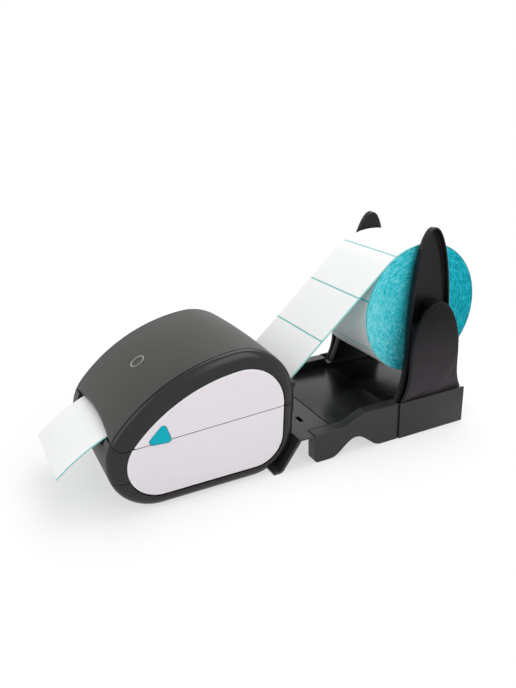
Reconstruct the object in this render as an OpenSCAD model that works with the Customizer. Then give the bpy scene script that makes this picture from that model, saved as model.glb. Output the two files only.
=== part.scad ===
// Desktop label printer with a roll stand docked behind it.
// X runs across the printer, Y from the label slot back to the roll, Z up from the desk.

/* [Printer body] */
// Width over the two side panels
body_w = 162; // [158:1:176]
// Length from the nose to the back, at the rim seams
body_l = 203; // [196:1:220]
// Height of the back curve's top above the desk
body_h = 146.5; // [144:0.5:154]
// Height of the shell's underside above the desk
foot_h = 1; // [1:0.1:2]
// Wall of the moulded shells
wall = 2.4; // [1.8:0.1:3]
// Radius of the nose in side view
nose_r = 51; // [49:0.5:53]
// Radius of the top's back curve
back_r = 61; // [58:0.5:64]
// Radius of the lower back corner
heel_r = 49.5; // [46:0.5:51]
// Radius of the long crown between nose and back
crown_r = 185; // [178:1:195]
// Rise of the middle over the rim seams
bulge = 3; // [2:0.5:4]
// Distance between the two rim seams
seam_w = 146; // [144:1:148]
// Distance that the rim rolls in to the side panel
rim_roll = 15; // [13:0.5:16]
// Drop of the side panel from the middle of its rim
panel_drop = 3.5; // [2:0.5:4]
// Shift of the side panel towards the back
panel_back = 2; // [0:0.5:3]
// Thickness of a side panel
panel_t = 2.4; // [1.8:0.1:3]
// Gap round a side panel
panel_gap = 0.8; // [0.5:0.1:1.2]
// Gap between cover and base
part_gap = 0.8; // [0.6:0.1:1.2]
// Height of the parting line below the nose tip
part_front = 69.9; // [68:0.1:71]
// Rise of the parting line from nose to back
part_rise = 8; // [6:0.5:9]
// Height of the seam under the front bezel
bezel_seam_z = 36.7; // [33:0.1:40]

/* [Paper path] */
// Width of the liner
liner_w = 104; // [100:1:106]
// Width of a label
label_w = 100; // [90:1:102]
// Length of a label along the web
label_l = 61; // [40:1:80]
// Gap between two labels
label_gap = 2; // [2:0.5:4]
// Thickness of the liner
liner_t = 0.3; // [0.2:0.05:0.4]
// Thickness of a label
label_t = 0.25; // [0.15:0.05:0.3]
// Height of the liner's underside over the platen
paper_z = 79.4; // [79:0.1:80]
// Slope of the web between printer and roll, in degrees
web_slope = 41; // [38:0.5:44]
// Distance from the bend at the inlet to the printer's back
inlet_set = 2.5; // [1:0.5:4]
// Radius of the bend where the strip leaves the platen
curl_r = 16; // [12:0.5:20]
// Slope at which the strip leaves that bend, in degrees
curl_a = 21; // [19:0.5:23]
// Further angle by which the strip droops along its length, in degrees
strip_bow = 20; // [18:0.5:22]
// Length of the strip that hangs out
strip_l = 70.2; // [60:0.1:80]
// Lower edge of the cover over the label slot
slot_z = 80.6; // [80:0.1:82]
// Room between the strip and the front bezel's lip
lip_gap = 1.5; // [1:0.1:2]
// Half width of the slots at front and back
slot_half = 57; // [55:0.5:57.2]

/* [Print mechanism] */
// Distance from the nose to the platen axis
platen_set = 22; // [21:0.5:24]
// Radius of the platen's rubber
platen_r = 8; // [7:0.25:8.5]
// Radius of the platen shaft
shaft_r = 3; // [2.5:0.1:3.5]
// Running clearance of a shaft in its bore
run_fit = 0.05; // [0.03:0.01:0.08]
// Clearance between pieces that slide or pass by
pass_gap = 0.3; // [0.3:0.05:0.4]
// Gear tooth module
gear_m = 0.8; // [0.7:0.05:0.9]
// Teeth of the platen gear
platen_teeth = 24; // [22:1:26]
// Teeth of the idler gear
idler_teeth = 32; // [30:1:34]
// Teeth of the motor pinion
pinion_teeth = 12; // [11:1:14]
// Width of the gears
gear_w = 5; // [4:0.5:5]
// Distance from the middle to the print frame's side plates
cheek_in = 60; // [60:0.5:61]
// Thickness of the side plates
cheek_t = 3; // [2.6:0.2:3.2]
// Height of the paper deck's top
deck_z = 76.7; // [76:0.1:76.9]
// Thickness of the paper deck
deck_t = 2.5; // [2:0.1:3]
// Radius of the stepper motor
motor_r = 17.5; // [16:0.5:18]
// Length of the stepper motor
motor_l = 24; // [20:1:28]
// Travel of a paper guide
guide_travel = 4.5; // [3:0.5:4.5]
// Height of the main board's underside
board_z = 48.6; // [47:0.1:49]

/* [Cover fittings] */
// Height of the hinge axis
hinge_z = 93.2; // [91:0.1:95]
// Distance of the hinge axis behind the back, at its own height
hinge_set = 1.5; // [1:0.1:2]
// Radius of the hinge pins
hinge_r = 3; // [2.5:0.1:3.2]
// Distance from the nose to the feed button
feed_set = 59.7; // [55:0.5:70]
// Radius of the feed button
feed_r = 6.4; // [5.5:0.1:7]
// Width of the light ring
ring_w = 1.5; // [1:0.1:2]
// Travel of the feed button
feed_travel = 1.2; // [0.8:0.1:1.4]
// Corner radius of a release button
latch_r = 3.5; // [3:0.1:4]
// Travel of a release button
latch_travel = 3; // [2:0.5:3]
// Height that a release button stands proud
latch_proud = 1.2; // [0.8:0.1:2]
// Pitch of the tear bar's teeth
tear_pitch = 2; // [1.6:0.2:3]

/* [Roll] */
// Outer diameter of the label roll
roll_d = 152.8; // [130:0.2:160]
// Height of the roll axis above the desk
roll_z = 139.8; // [135:0.1:145]
// Bore of the cardboard core
core_bore = 25.4; // [24:0.2:26]
// Wall of the cardboard core
core_wall = 3; // [2:0.5:4]
// Clearance between the roll and the layer of web round it
web_gap = 0.35; // [0.3:0.05:0.5]
// Angle of web round the roll, in degrees
wrap_a = 195; // [180:1:210]

/* [Stand] */
// Half width over the side skirts
stand_half = 86; // [84:0.5:90]
// Thickness of a side skirt
skirt_t = 10; // [8:0.5:10]
// Height of the stand's floor
stand_z = 34.5; // [33:0.5:36]
// Thickness of the stand's floor
floor_t = 3; // [2.6:0.2:3.4]
// Height of the raised side walls
side_z = 45; // [43:0.5:46]
// Height of the arch in a skirt
arch_h = 18; // [14:0.5:20]
// Width of the arch in a skirt
arch_w = 68; // [60:1:70]
// Distance from the printer's back to the skirts
skirt_set = 19.5; // [18:0.5:21]
// Distance from the printer's back to the docking plate
dock_set = 1; // [0.5:0.5:3]
// Distance from the printer's back to the docking plate's seam
dock_seam = 47; // [44:1:50]
// Distance of the hook's ends inside the skirts' outer faces
hook_in = 0; // [0:0.5:4]
// Length of the hook's slope down under the printer
dock_run = 23; // [20:0.5:24]
// Thickness of the docking plate
dock_t = 2.4; // [2:0.1:2.6]
// Thickness of a slide block's outer wall
block_wall = 3; // [2.5:0.5:3.5]
// Outward travel of an upright
slide_travel = 18; // [12:1:20]
// Height of an ear's tip above the desk
ear_top = 236.2; // [230:0.1:241]
// Half width of an ear
ear_half = 27.8; // [25:0.1:30]
// Depth of an ear's channel
ear_d = 9; // [8:0.5:10]
// Wall of an ear and a fin
ear_wall = 2.4; // [2:0.2:3]
// Inward lean of an ear, in degrees
ear_lean = 3.7; // [3.4:0.1:4]
// Height of a fin's tip above the desk
fin_top = 157; // [150:0.5:160]
// Half width of a fin
fin_half = 34.5; // [32:0.5:36]
// Depth of a fin
fin_d = 5; // [4:0.5:6]

/* [Hidden] */
$fn = 48;
// Length of a cut that runs past its piece
over = 1;
// Thickness of a slice in a lofted shape
slice = 0.02;
big = 600;

seam_h = seam_w / 2;
side_h = body_w / 2;
rim_t = side_h - seam_h;
liner_half = liner_w / 2;

// The paper path fixes how far the roll stands behind the printer
roll_r = roll_d / 2;
wrap_r = roll_r + web_gap;
web_t = liner_t + label_t;
tangent_a = 90 + web_slope;
roll_back = (roll_z + wrap_r * sin(tangent_a) - paper_z) / tan(web_slope)
    - wrap_r * cos(tangent_a) - inlet_set;
tip_a = curl_a + strip_bow;
strip_r = strip_l * 180 / (PI * strip_bow);
strip_reach = curl_r * sin(curl_a) + strip_r * (sin(tip_a) - sin(curl_a)) + web_t * sin(tip_a) - platen_set;
total_l = strip_reach + body_l + roll_back + wrap_r + web_t;
nose_y = strip_reach - total_l / 2;
rear_y = nose_y + body_l;
roll_y = rear_y + roll_back;
roll_c = [roll_y, roll_z];

// Tangent arcs of the printer's side view
heel_set = 2;
nose_c = [nose_y + nose_r, foot_h + nose_r];
back_c = [rear_y - back_r, body_h - back_r];
heel_c = [rear_y - heel_set - heel_r, foot_h + heel_r];
nose_to_back = back_c - nose_c;
crown_to_nose = crown_r - nose_r;
crown_to_back = crown_r - back_r;
span = norm(nose_to_back);
crown_along = (crown_to_nose ^ 2 - crown_to_back ^ 2 + span ^ 2) / (2 * span);
crown_down = sqrt(crown_to_nose ^ 2 - crown_along ^ 2);
crown_c = nose_c + crown_along * nose_to_back / span
    + crown_down * [nose_to_back.y, -nose_to_back.x] / span;
nose_a = atan2(nose_c.y - crown_c.y, nose_c.x - crown_c.x);
back_a = atan2(back_c.y - crown_c.y, back_c.x - crown_c.x);
back_to_heel = heel_c - back_c;
heel_a = atan2(back_to_heel.y, back_to_heel.x) + acos((back_r - heel_r) / norm(back_to_heel));

// Points on an arc from angle a0 to angle a1
function arc(c, r, a0, a1, n) = [for (i = [0:n])
    let (a = a0 + (a1 - a0) * i / n) c + r * [cos(a), sin(a)]];

// Side view of the body, moved inwards by d
function outline(d) = concat(
    arc(nose_c, nose_r - d, 270, nose_a, 12),
    arc(crown_c, crown_r - d, nose_a - 4, back_a + 4, 8),
    arc(back_c, back_r - d, back_a, heel_a, 9),
    arc(heel_c, heel_r - d, heel_a, -90, 8));

// Stretch in height that makes the middle rise over the seams, at the share k of the way to a seam
function rise(k) = 1 + bulge * (1 - k ^ 2) / (body_h - foot_h);

// Height of the parting line at y
function part_z(y) = part_front + part_rise * (y - nose_y) / body_l;

// Where the parting line leaves the slot's height and where it is straight
part_turn = 4;
part_mid = 9;
part_flat = 15;
function part_path(drop) = [
    [nose_y - big, slot_z - drop],
    [nose_y + part_turn, slot_z - drop],
    [nose_y + part_mid, slot_z - 5.5 - drop],
    [nose_y + part_flat, part_z(nose_y + part_flat) - drop],
    [rear_y + big, part_z(rear_y + big) - drop]];

// Print mechanism
platen_y = nose_y + platen_set;
press_gap = 0.2;
platen_z = paper_z - press_gap - platen_r;
head_z = paper_z + web_t + press_gap;
backlash = 0.05;
platen_pr = gear_m * platen_teeth / 2;
idler_pr = gear_m * idler_teeth / 2;
pinion_pr = gear_m * pinion_teeth / 2;
idler_dir = -40;
pinion_dir = -30;
idler_c = [platen_y, platen_z] + (platen_pr + idler_pr + backlash) * [cos(idler_dir), sin(idler_dir)];
pinion_c = idler_c + (idler_pr + pinion_pr + backlash) * [cos(pinion_dir), sin(pinion_dir)];
cheek_out = cheek_in + cheek_t;
gear_x = cheek_out + 1.5;
floor_z = foot_h + wall;
deck_under = deck_z - deck_t;
deck_front = nose_y + 44;
frame_back = rear_y - 8;
cheek_drop = 1;
ledge_w = 4;
ledge_t = 3;
ledge_back = rear_y - 12;
idler_pin_r = 2;
idler_pin_over = 0.8;
boss_r = 5.8;
boss_gap = 0.2;
boss_set = 1;
bush_r = shaft_r + 2;
bush_flange = 1;
platen_over = 1;
shaft_over = [1, 0.6];
motor_shaft_r = 2.5;
motor_shaft_gap = 1;
sensor_w = 14;
sensor_l = 8;
sensor_y = nose_y + 60;
sensor_gap = 0.2;
sensor_drop = 2.5;
sensor_flange = [3, 2];

// Phase of gear 2 that meshes with gear 1, where dir points from gear 1 to gear 2
function mate_phase(phase_1, n1, n2, dir) = dir + 180 + ((dir - phase_1) * n1 / 360 + 0.5) * 360 / n2;
platen_phase = idler_dir;
idler_phase = mate_phase(platen_phase, platen_teeth, idler_teeth, idler_dir);
pinion_phase = mate_phase(idler_phase, idler_teeth, pinion_teeth, pinion_dir);

// Outline of a gear: the half widths are shares of the tooth pitch
tip_half = 0.11;
root_half = 0.29;
addendum = 0.85;
dedendum = 1.1;
tooth = [[-root_half, -dedendum], [-tip_half, addendum], [tip_half, addendum], [root_half, -dedendum]];
function gear_points(n, m, phase) = [for (i = [0:n - 1])
    for (k = tooth)
        let (a = phase + (i + k[0]) * 360 / n, r = m * (n / 2 + k[1])) r * [cos(a), sin(a)]];

// Paper guides: rack, pinion and fences
guide_m = 1;
guide_teeth = 12;
guide_pr = guide_m * guide_teeth / 2;
guide_set = 57;
guide_y = rear_y - guide_set;
guide_pin_r = 2.45;
guide_pin_drop = 1.2;
rack_teeth = 5;
rack_t = 3;
rack_z = deck_under - 5;
fence_half = 25;
fence_t = 2;
fence_h = 8.5;
fence_in = liner_half + 1.2;
neck_w = 3;
rack_mid = guide_pr + guide_m * dedendum + rack_t / 2;

// Screws and feet under the base
screw_x = cheek_in + cheek_t / 2;
screw_front = 60;
screw_back = 53;
screw_ys = [nose_y + screw_front, rear_y - screw_back];
screw_r = 1.25;
screw_head_r = 2.6;
screw_head_h = 1.6;
screw_head_t = 1.4;
screw_top = 18;
foot_x = 55;
foot_front = 45;
foot_back = 65;
foot_r = 7.5;
foot_taper = 1;

// Main board and rear connectors
board_t = 1.6;
board_top = board_z + board_t;
board_back = rear_y - 6;
board_l = 86;
board_front = board_back - board_l;
board_edge = 0.2;
chip_half = 12;
chip_y = [24, 46];
chip_t = 2;
can_xs = [22, 36];
can_y = 18;
can_r = 5;
can_h = 12;
header_x = [-45, -20];
header_y = [6, 12];
header_h = 5;
port_out = rear_y + 0.6;
port_in = rear_y - 15;
port_seat = 0.5;
port_gap = 0.3;
jack_x = -20;
jack_w = 9;
jack_h = 11;
jack_bore = 3;
jack_depth = 10;
jack_pin_r = 1;
data_x = -40;
data_w = 12;
data_h = 11;
data_wall = 1;
data_depth = 9;
tongue_half = 2.8;
tongue_z = [3.6, 7];
tongue_root = 0.5;
tongue_set = 1;
switch_x = 35;
switch_w = 13;
switch_h = 19;
switch_z = board_top + switch_h / 2 + board_edge;
switch_flange = 1.2;
switch_lip = 0.4;
switch_pocket = 5;
rocker_w = 8.4;
rocker_half = 6.6;
rocker_pin_r = 1;
rocker_pin_l = 1.2;
rocker_pin_gap = 0.2;
rocker_room = 1.2;
rocker_back = 3;
rocker_tip = 6.6;
rocker_dip = 4.8;
rocker_rest = -6;
rocker_y = port_out - 3.4;

// Hinge
hinge_y = back_c.x + sqrt(back_r ^ 2 - (hinge_z - back_c.y) ^ 2) + hinge_set;
knuckle_r = hinge_r + 1.4;
arm_x = [62, 67];
arm_gap = 0.5;
arm_notch = 8;
arm_room = 1;
arm_eye = 0.2;
knuckle_x = [slot_half + arm_gap, seam_h - 1.5];
inlet_cut = 18;
inlet_top = 4;
arm_t = 4.4;
arm_y = rear_y + 0.1;
arm_low = 59;

// Feed button on the crown
feed_y = nose_y + feed_set - crown_c.x;
feed_z = sqrt(crown_r ^ 2 - feed_y ^ 2);
feed_a = atan2(feed_z, rise(0) * feed_y);
feed_p = [nose_y + feed_set, foot_h + (crown_c.y + feed_z - foot_h) * rise(0)];
ring_r = feed_r + 0.4;
ring_out = ring_r + ring_w;
flange_r = feed_r + 1.2;
flange_z = -wall - 1.2;
button_base = flange_z - 1.4;
board_drop = button_base - feed_travel - 4.5;
button_board_w = 40;
button_board_l = 26;
board_post = 15;
post_r = 2.5;
post_h = 20;
tact_half = 3;
tact_gap = 0.3;
ring_proud = 0.1;

// Release buttons: corners of the rounded triangle, from the nose and from the desk
latch_pts = [[57, 84.7], [46, 74.2], [60.5, 73.2]];
latch_in = seam_h - 0.5;
latch_flange = 2.2;
latch_lip = 1.2;
hook_y = [nose_y + 52, nose_y + 58];
hook_z = [63.2, 79.2];
seat_t = 2.4;
// Length that a release spring keeps when its button is in
spring_shut = 4.9;
seat_x = latch_in - latch_flange - latch_travel - spring_shut - seat_t;
seat_z = deck_z + 1;
seat_top = 87.2;
seat_y = [nose_y + 48, nose_y + 70];
seat_web = 4;
latch_spring = [nose_y + 54.5, 81.2];

// Print head
head_half = 55;
frame_half = head_half + 3;
tear_half = head_half - 1;
head_y = [nose_y + 18.5, nose_y + 34];
head_t = 3;
sink_t = 3.5;
sink_y = nose_y + 23;
frame_y = [nose_y + 16.2, nose_y + 39];
frame_knee = nose_y + 26.5;
frame_t = 1.5;
head_travel = 1;
// Length that a head spring keeps when the head is up
head_spring_shut = 5.75;
frame_top = head_z + head_t + sink_t / 2 + head_travel + head_spring_shut + frame_t;
spring_x = 35;
spring_y = nose_y + 31;
sink_pitch = 3.1;
sink_rib = 1.5;
sink_end = 28;
frame_low = 1.5;
frame_lip = 4.2;
frame_lip_in = 3.6;
frame_bend = 0.6;
head_gap = 1.2;
tear_t = 1.2;
tear_depth = 1.2;
tear_lift = 0.1;
tear_top = 3.6;
boss_xs = [-48, 40];
boss_w = 8;
boss_y = [nose_y + 24, nose_y + 34];
head_coil_r = 2.6;
latch_coil_r = 3;
wire_r = 0.35;
coil_turns = 5;

// Stand
skirt_in = stand_half - skirt_t;
skirt_y = rear_y + skirt_set;
dock_y = rear_y + dock_set;
dock_half = stand_half - hook_in;
seam_y = rear_y + dock_seam;
seam_gap = 0.3;
dock_lip = 9;
dock_side = 0.2;
dock_end = skirt_y - 0.6;
toe_under = 1.4;
toe_over = 0.6;
knee_under = 2.4;
dock_slot_x = [38, 51];
dock_slot_y = [skirt_y + 2, skirt_y + 6.7];
notch_x = [56, 63];
notch_y = [dock_y - 2, dock_y + 3];
notch_drop = 6;
block_y = [roll_y - 52.5, roll_y + 41.5];
ear_in = 67;
ear_to_fin = 3.5;
fin_out = ear_in + ear_d + ear_to_fin + fin_d;
block_out = fin_out + 0.5 + block_wall;
block_in = ear_in - 1;
block_base = stand_z + 0.2;
tray_t = 5;
foot_z = block_base + tray_t;
desk_gap = 0.6;
end_wall = 2.5;
floor_back = block_y[1] - 2;
floor_side = block_out - block_wall - 2;
bar_w = 12;
bar_t = 3.5;
bar_z = stand_z - floor_t - 1 - bar_t;
bar_ys = [roll_y - 36, roll_y + 20];
tunnel_x = [48, 76];
// Length of bar that stays in its tunnel when the upright is out
bar_hold = 13;
bar_in = tunnel_x[1] - slide_travel - bar_hold;
tunnel_t = 2.5;
leg_t = 5;
leg_y = floor_back - leg_t - 1;
ear_belly = 115;
ear_flare = 15;
ear_back = 12;
fin_y = roll_y - 1.5;
fin_belly = 85;
fin_flare = 16;
fin_end = block_y[1] - 0.4;
// Round leaf on a fin's face: the fin is set back behind and under it
leaf_c = [roll_y - 10.8, 92];
leaf_r = 40.3;
leaf_top = 106;
leaf_step = 0.8;
hub_stub_r = 8;
hub_clear = 0.35;
hub_in = 40;
hub_gap = 0.8;
hub_set = 1.2;
hub_spacer_r = 16;
hub_stub_l = 8;
hub_plate = [11, 14];
hub_plate_x = [4.4, 8.4];
// Distance of an ear's inner face from the middle at the roll's height
hub_seat = ear_in - (roll_z - foot_z) * tan(ear_lean);
core_half = liner_half + 0.5;

// Lean of an ear's middle line: back at the tip and forward at the foot
function ear_mid(z) = roll_y - 7.3 + ear_back * (z - stand_z) / (ear_top - stand_z);
// Half width of an upright: half an ellipse over the belly, a flared foot under it
function swell(z, half, belly, top, flare, low) = z > belly
    ? half * sqrt(max(0, 1 - ((z - belly) / (top - belly)) ^ 2))
    : half + flare * ((belly - z) / (belly - low)) ^ 3;
function upright_points(half, belly, top, flare, low, foot, d) = let (
    rise = [for (i = [0:8]) foot + (belly - foot) * i / 8],
    bow = [for (i = [1:11]) belly + (top - d - belly) * sin(90 * i / 12)],
    side = [for (z = concat(rise, bow)) [swell(z, half - d, belly, top - d, flare, low), z]])
    concat(side, [[0, top - d]], [for (i = [len(side) - 1:-1:0]) [-side[i].x, side[i].y]]);
function ear_points(foot, d) = [
    for (p = upright_points(ear_half, ear_belly, ear_top, ear_flare, stand_z, foot, d))
        [p.x + ear_mid(p.y), p.y]];
function fin_points(foot, d) = [
    for (p = upright_points(fin_half, fin_belly, fin_top, fin_flare, stand_z, foot, d))
        [min(p.x + fin_y, fin_end), p.y]];

// Middle line of the web, from the strip's tip to the end of its wrap
curl_c = [platen_y, paper_z - curl_r];
curl_end = curl_c + curl_r * [-sin(curl_a), cos(curl_a)];
strip_c = curl_end + strip_r * [sin(curl_a), -cos(curl_a)];
strip_tip = strip_c + strip_r * [-sin(tip_a), cos(tip_a)];
bend_y = rear_y - inlet_set;
bend_r = 30;
bend_t = bend_r * tan(web_slope / 2);
bend_c = [bend_y - bend_t, paper_z + bend_r];
web_line = concat(
    arc(strip_c, strip_r, 90 + tip_a, 90 + curl_a + strip_bow / 6, 5),
    arc(curl_c, curl_r, 90 + curl_a, 90, 6),
    arc(bend_c, bend_r, -90, web_slope - 90, 5),
    arc(roll_c, wrap_r, tangent_a, tangent_a - wrap_a, 48));
web_last = len(web_line) - 1;
web_dist = [for (i = 0, s = 0; i <= web_last;
        s = s + norm(web_line[min(i + 1, web_last)] - web_line[i]), i = i + 1)
    s];
web_l = web_dist[web_last];
function web_at(s) = [for (k = [0, 1])
    lookup(s, [for (i = [0:web_last]) [web_dist[i], web_line[i][k]]])];
function web_up(s) = let (t = web_at(min(s + 1, web_l)) - web_at(max(s - 1, 0))) [-t.y, t.x] / norm(t);
// Stretch of web from s0 to s1, between the heights h0 and h1 above its underside
function web_points(s0, s1, h0, h1) = let (
    stops = concat([s0], [for (s = web_dist) if (s > s0 + 0.5 && s < s1 - 0.5) s], [s1]))
    concat([for (s = stops) web_at(s) + h0 * web_up(s)],
        [for (i = [len(stops) - 1:-1:0]) web_at(stops[i]) + h1 * web_up(stops[i])]);
label_pitch = label_l + label_gap;
// Ends of the labels, from the strip's torn end: the first one lies ready to be torn off
label_next = 72;
label_ends = concat([[1, label_next - label_gap]],
    [for (s = [label_next:label_pitch:web_l - label_l]) [s, s + label_l]]);

shell_dark = "#3b3939";
rim_dark = "#353233";
panel_pale = "#e3dfe6";
teal = "#00b8cc";
stand_dark = "#3f3d3e";

// A side-view shape carried across X from x0 to x1
module slab(x0, x1) {
    translate([x0, 0, 0]) rotate([90, 0, 90]) linear_extrude(x1 - x0) children();
}

// A box between two corners
module block(a, b) {
    translate(a) cube(b - a);
}

// A round bar along X
module bar_x(p, x0, x1, r) {
    translate([x0, p.x, p.y]) rotate([0, 90, 0]) cylinder(r = r, h = x1 - x0);
}

module mirrored(side) {
    mirror([side > 0 ? 0 : 1, 0, 0]) children();
}

// The middle of the body between the rim seams, moved inwards by d
module middle_solid(d, reach) {
    hull() for (k = [-2:2])
        translate([k / 2 * (reach - slice / 2), 0, 0])
            slab(-slice / 2, slice / 2) translate([0, foot_h]) scale([1, rise(k / 2)]) translate([0, -foot_h])
                polygon(outline(d));
}

module middle_shell(reach) {
    difference() {
        middle_solid(0, reach);
        intersection() {
            middle_solid(wall, reach + over);
            block([-big, -big, floor_z], [big, big, big]);
        }
    }
}

// Side view of the rim where it has rolled in by the share k of its way to the panel
module rim_outline(k, d) {
    translate(k * [panel_back, -panel_drop]) polygon(outline(k * rim_roll + d));
}

// The rolled rim on the right side, as one closed cap
module rim_solid() {
    hull() for (a = [0:18:90])
        slab(seam_h + rim_t * sin(a), seam_h + rim_t * sin(a) + slice) rim_outline(1 - cos(a), 0);
}

module panel_recess() {
    slab(side_h - panel_t, side_h + over) rim_outline(1, 0);
}

module cover_zone() {
    slab(-big / 2, big / 2) polygon(concat(part_path(0), [[rear_y + big, big], [nose_y - big, big]]));
}

module base_zone() {
    slab(-big / 2, big / 2)
        polygon(concat(part_path(part_gap), [[rear_y + big, foot_h], [nose_y - big, foot_h]]));
}

// The front bezel's share of the base, with its seam moved by grow
module bezel_zone(grow) {
    block([-big, -big, bezel_seam_z - grow], [big, nose_y + part_flat + grow, slot_z]);
}

// A release button's rounded triangle, grown by d
module latch_shape(d) {
    hull() for (p = latch_pts) translate([nose_y + p.x, p.y]) circle(r = latch_r + d, $fn = 32);
}

module base_shell() {
    color(shell_dark) difference() {
        intersection() {
            middle_shell(seam_h);
            base_zone();
        }
        bezel_zone(part_gap / 4);
        rear_ports(port_gap);
        for (x = [-1, 1], y = screw_ys) translate([x * screw_x, y, foot_h - over]) {
            cylinder(r = screw_head_r + pass_gap, h = over + screw_head_h);
            cylinder(r = screw_r, h = 2 * wall + over);
        }
    }
}

// Openings for the connectors and the switch in the back wall
module rear_ports(gap) {
    for (p = [[jack_x, jack_w, jack_h], [data_x, data_w, data_h]])
        block([p[0] - p[1] / 2 - gap, port_in, board_top - gap],
            [p[0] + p[1] / 2 + gap, big, board_top + p[2] + gap]);
    block([switch_x - switch_w / 2 - gap, port_in, switch_z - switch_h / 2 - gap],
        [switch_x + switch_w / 2 + gap, big, switch_z + switch_h / 2 + gap]);
}

module base_rim(side) {
    color(rim_dark) mirrored(side) difference() {
        intersection() {
            rim_solid();
            base_zone();
        }
        panel_recess();
        bezel_zone(part_gap / 4);
        slab(seam_h - over, big) latch_shape(part_gap);
    }
}

module base_panel(side) {
    color(panel_pale) mirrored(side) difference() {
        intersection() {
            slab(side_h - panel_t, side_h) rim_outline(1, panel_gap);
            base_zone();
        }
        slab(0, big) latch_shape(part_gap);
    }
}

module front_bezel() {
    color(rim_dark) difference() {
        intersection() {
            union() {
                middle_shell(seam_h);
                for (side = [-1, 1]) mirrored(side) difference() {
                    rim_solid();
                    panel_recess();
                }
            }
            base_zone();
            bezel_zone(0);
        }
        translate([0, 0, -lip_gap]) slab(-slot_half, slot_half)
            polygon([strip_tip, curl_end, [rear_y, curl_end.y], [rear_y, big], [strip_tip.x, big]]);
    }
}

module print_frame() {
    color("#4a4a4a") difference() {
        union() {
            intersection() {
                slab(-big / 2, big / 2) polygon(outline(wall + pass_gap));
                union() {
                    for (side = [-1, 1]) mirrored(side) {
                        block([cheek_in, nose_y, floor_z], [cheek_out, frame_back, deck_z - cheek_drop]);
                        block([cheek_in - ledge_w, board_front, board_z - ledge_t],
                            [cheek_in, ledge_back, board_z]);
                    }
                    block([-cheek_out, deck_front, deck_under], [cheek_out, frame_back, deck_z]);
                }
            }
            bar_x(idler_c, cheek_out - over, gear_x + gear_w + idler_pin_over, idler_pin_r);
            translate([0, guide_y, rack_z - guide_pin_drop]) cylinder(r = guide_pin_r, h = deck_z - rack_z);
        }
        bar_x([platen_y, platen_z], -big, big, bush_r);
        bar_x(pinion_c, 0, big, boss_r + boss_gap);
        block([-sensor_w / 2 - sensor_gap, sensor_y - sensor_gap, 0],
            [sensor_w / 2 + sensor_gap, sensor_y + sensor_l + sensor_gap, big]);
        for (side = [-1, 1]) {
            block_y0 = guide_y + side * rack_mid - neck_w / 2 - pass_gap;
            mirrored(side) block([fence_in - pass_gap, block_y0, deck_under - over],
                [fence_in + fence_t + guide_travel + pass_gap, block_y0 + neck_w + 2 * pass_gap, big]);
        }
        for (x = [-1, 1], y = screw_ys) translate([x * screw_x, y, 0]) cylinder(r = screw_r, h = screw_top);
    }
}

module platen_bushes() {
    color("#d8d4c4") for (side = [-1, 1]) mirrored(side) difference() {
        union() {
            bar_x([platen_y, platen_z], cheek_in, cheek_out, bush_r);
            bar_x([platen_y, platen_z], cheek_in - bush_flange, cheek_in, bush_r + bush_flange);
        }
        bar_x([platen_y, platen_z], 0, big, shaft_r + run_fit);
    }
}

module drive_motor() {
    color("#8d8f92") difference() {
        union() {
            bar_x(pinion_c, cheek_in - motor_l, cheek_in, motor_r);
            bar_x(pinion_c, cheek_in, cheek_out - boss_set, boss_r);
        }
        bar_x(pinion_c, cheek_in - motor_l / 2, big, motor_shaft_r + run_fit);
    }
}

module main_board() {
    color("#2f6b45") {
        block([-cheek_in + board_edge, board_front, board_z],
            [cheek_in - board_edge, board_back, board_top]);
        block([-chip_half, board_front + chip_y[0], board_top],
            [chip_half, board_front + chip_y[1], board_top + chip_t]);
        for (x = can_xs) translate([x, board_front + can_y, board_top]) cylinder(r = can_r, h = can_h);
        block([header_x[0], board_front + header_y[0], board_top],
            [header_x[1], board_front + header_y[1], board_top + header_h]);
    }
}

module power_jack() {
    color("#262626") difference() {
        block([jack_x - jack_w / 2, port_in + port_seat, board_top],
            [jack_x + jack_w / 2, port_out, board_top + jack_h]);
        translate([jack_x, port_out + over, board_top + jack_h / 2]) rotate([90, 0, 0]) difference() {
            cylinder(r = jack_bore, h = jack_depth);
            cylinder(r = jack_pin_r, h = jack_depth);
        }
    }
}

module data_port() {
    color("#b9bcc0") difference() {
        block([data_x - data_w / 2, port_in + port_seat, board_top],
            [data_x + data_w / 2, port_out, board_top + data_h]);
        block([data_x - data_w / 2 + data_wall, port_out - data_depth, board_top + data_wall],
            [data_x + data_w / 2 - data_wall, port_out + over, board_top + data_h - data_wall]);
    }
    color("#262626")
        block([data_x - tongue_half, port_out - data_depth - tongue_root, board_top + tongue_z[0]],
            [data_x + tongue_half, port_out - tongue_set, board_top + tongue_z[1]]);
}

module switch_housing() {
    color("#1f1f1f") difference() {
        union() {
            block([switch_x - switch_w / 2, port_in + port_seat, switch_z - switch_h / 2],
                [switch_x + switch_w / 2, port_out, switch_z + switch_h / 2]);
            block([switch_x - switch_w / 2 - switch_flange, port_out - switch_lip,
                    switch_z - switch_h / 2 - switch_flange],
                [switch_x + switch_w / 2 + switch_flange, port_out + switch_flange,
                    switch_z + switch_h / 2 + switch_flange]);
        }
        block([switch_x - rocker_w / 2 - pass_gap, rocker_y - switch_pocket,
                switch_z - rocker_half - rocker_room],
            [switch_x + rocker_w / 2 + pass_gap, big, switch_z + rocker_half + rocker_room]);
        rocker_bar(rocker_pin_l + rocker_pin_gap, rocker_pin_r + run_fit);
    }
}

// The rocker's pin, out past its sides by reach
module rocker_bar(reach, r) {
    bar_x([rocker_y, switch_z], switch_x - rocker_w / 2 - reach, switch_x + rocker_w / 2 + reach, r);
}

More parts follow.
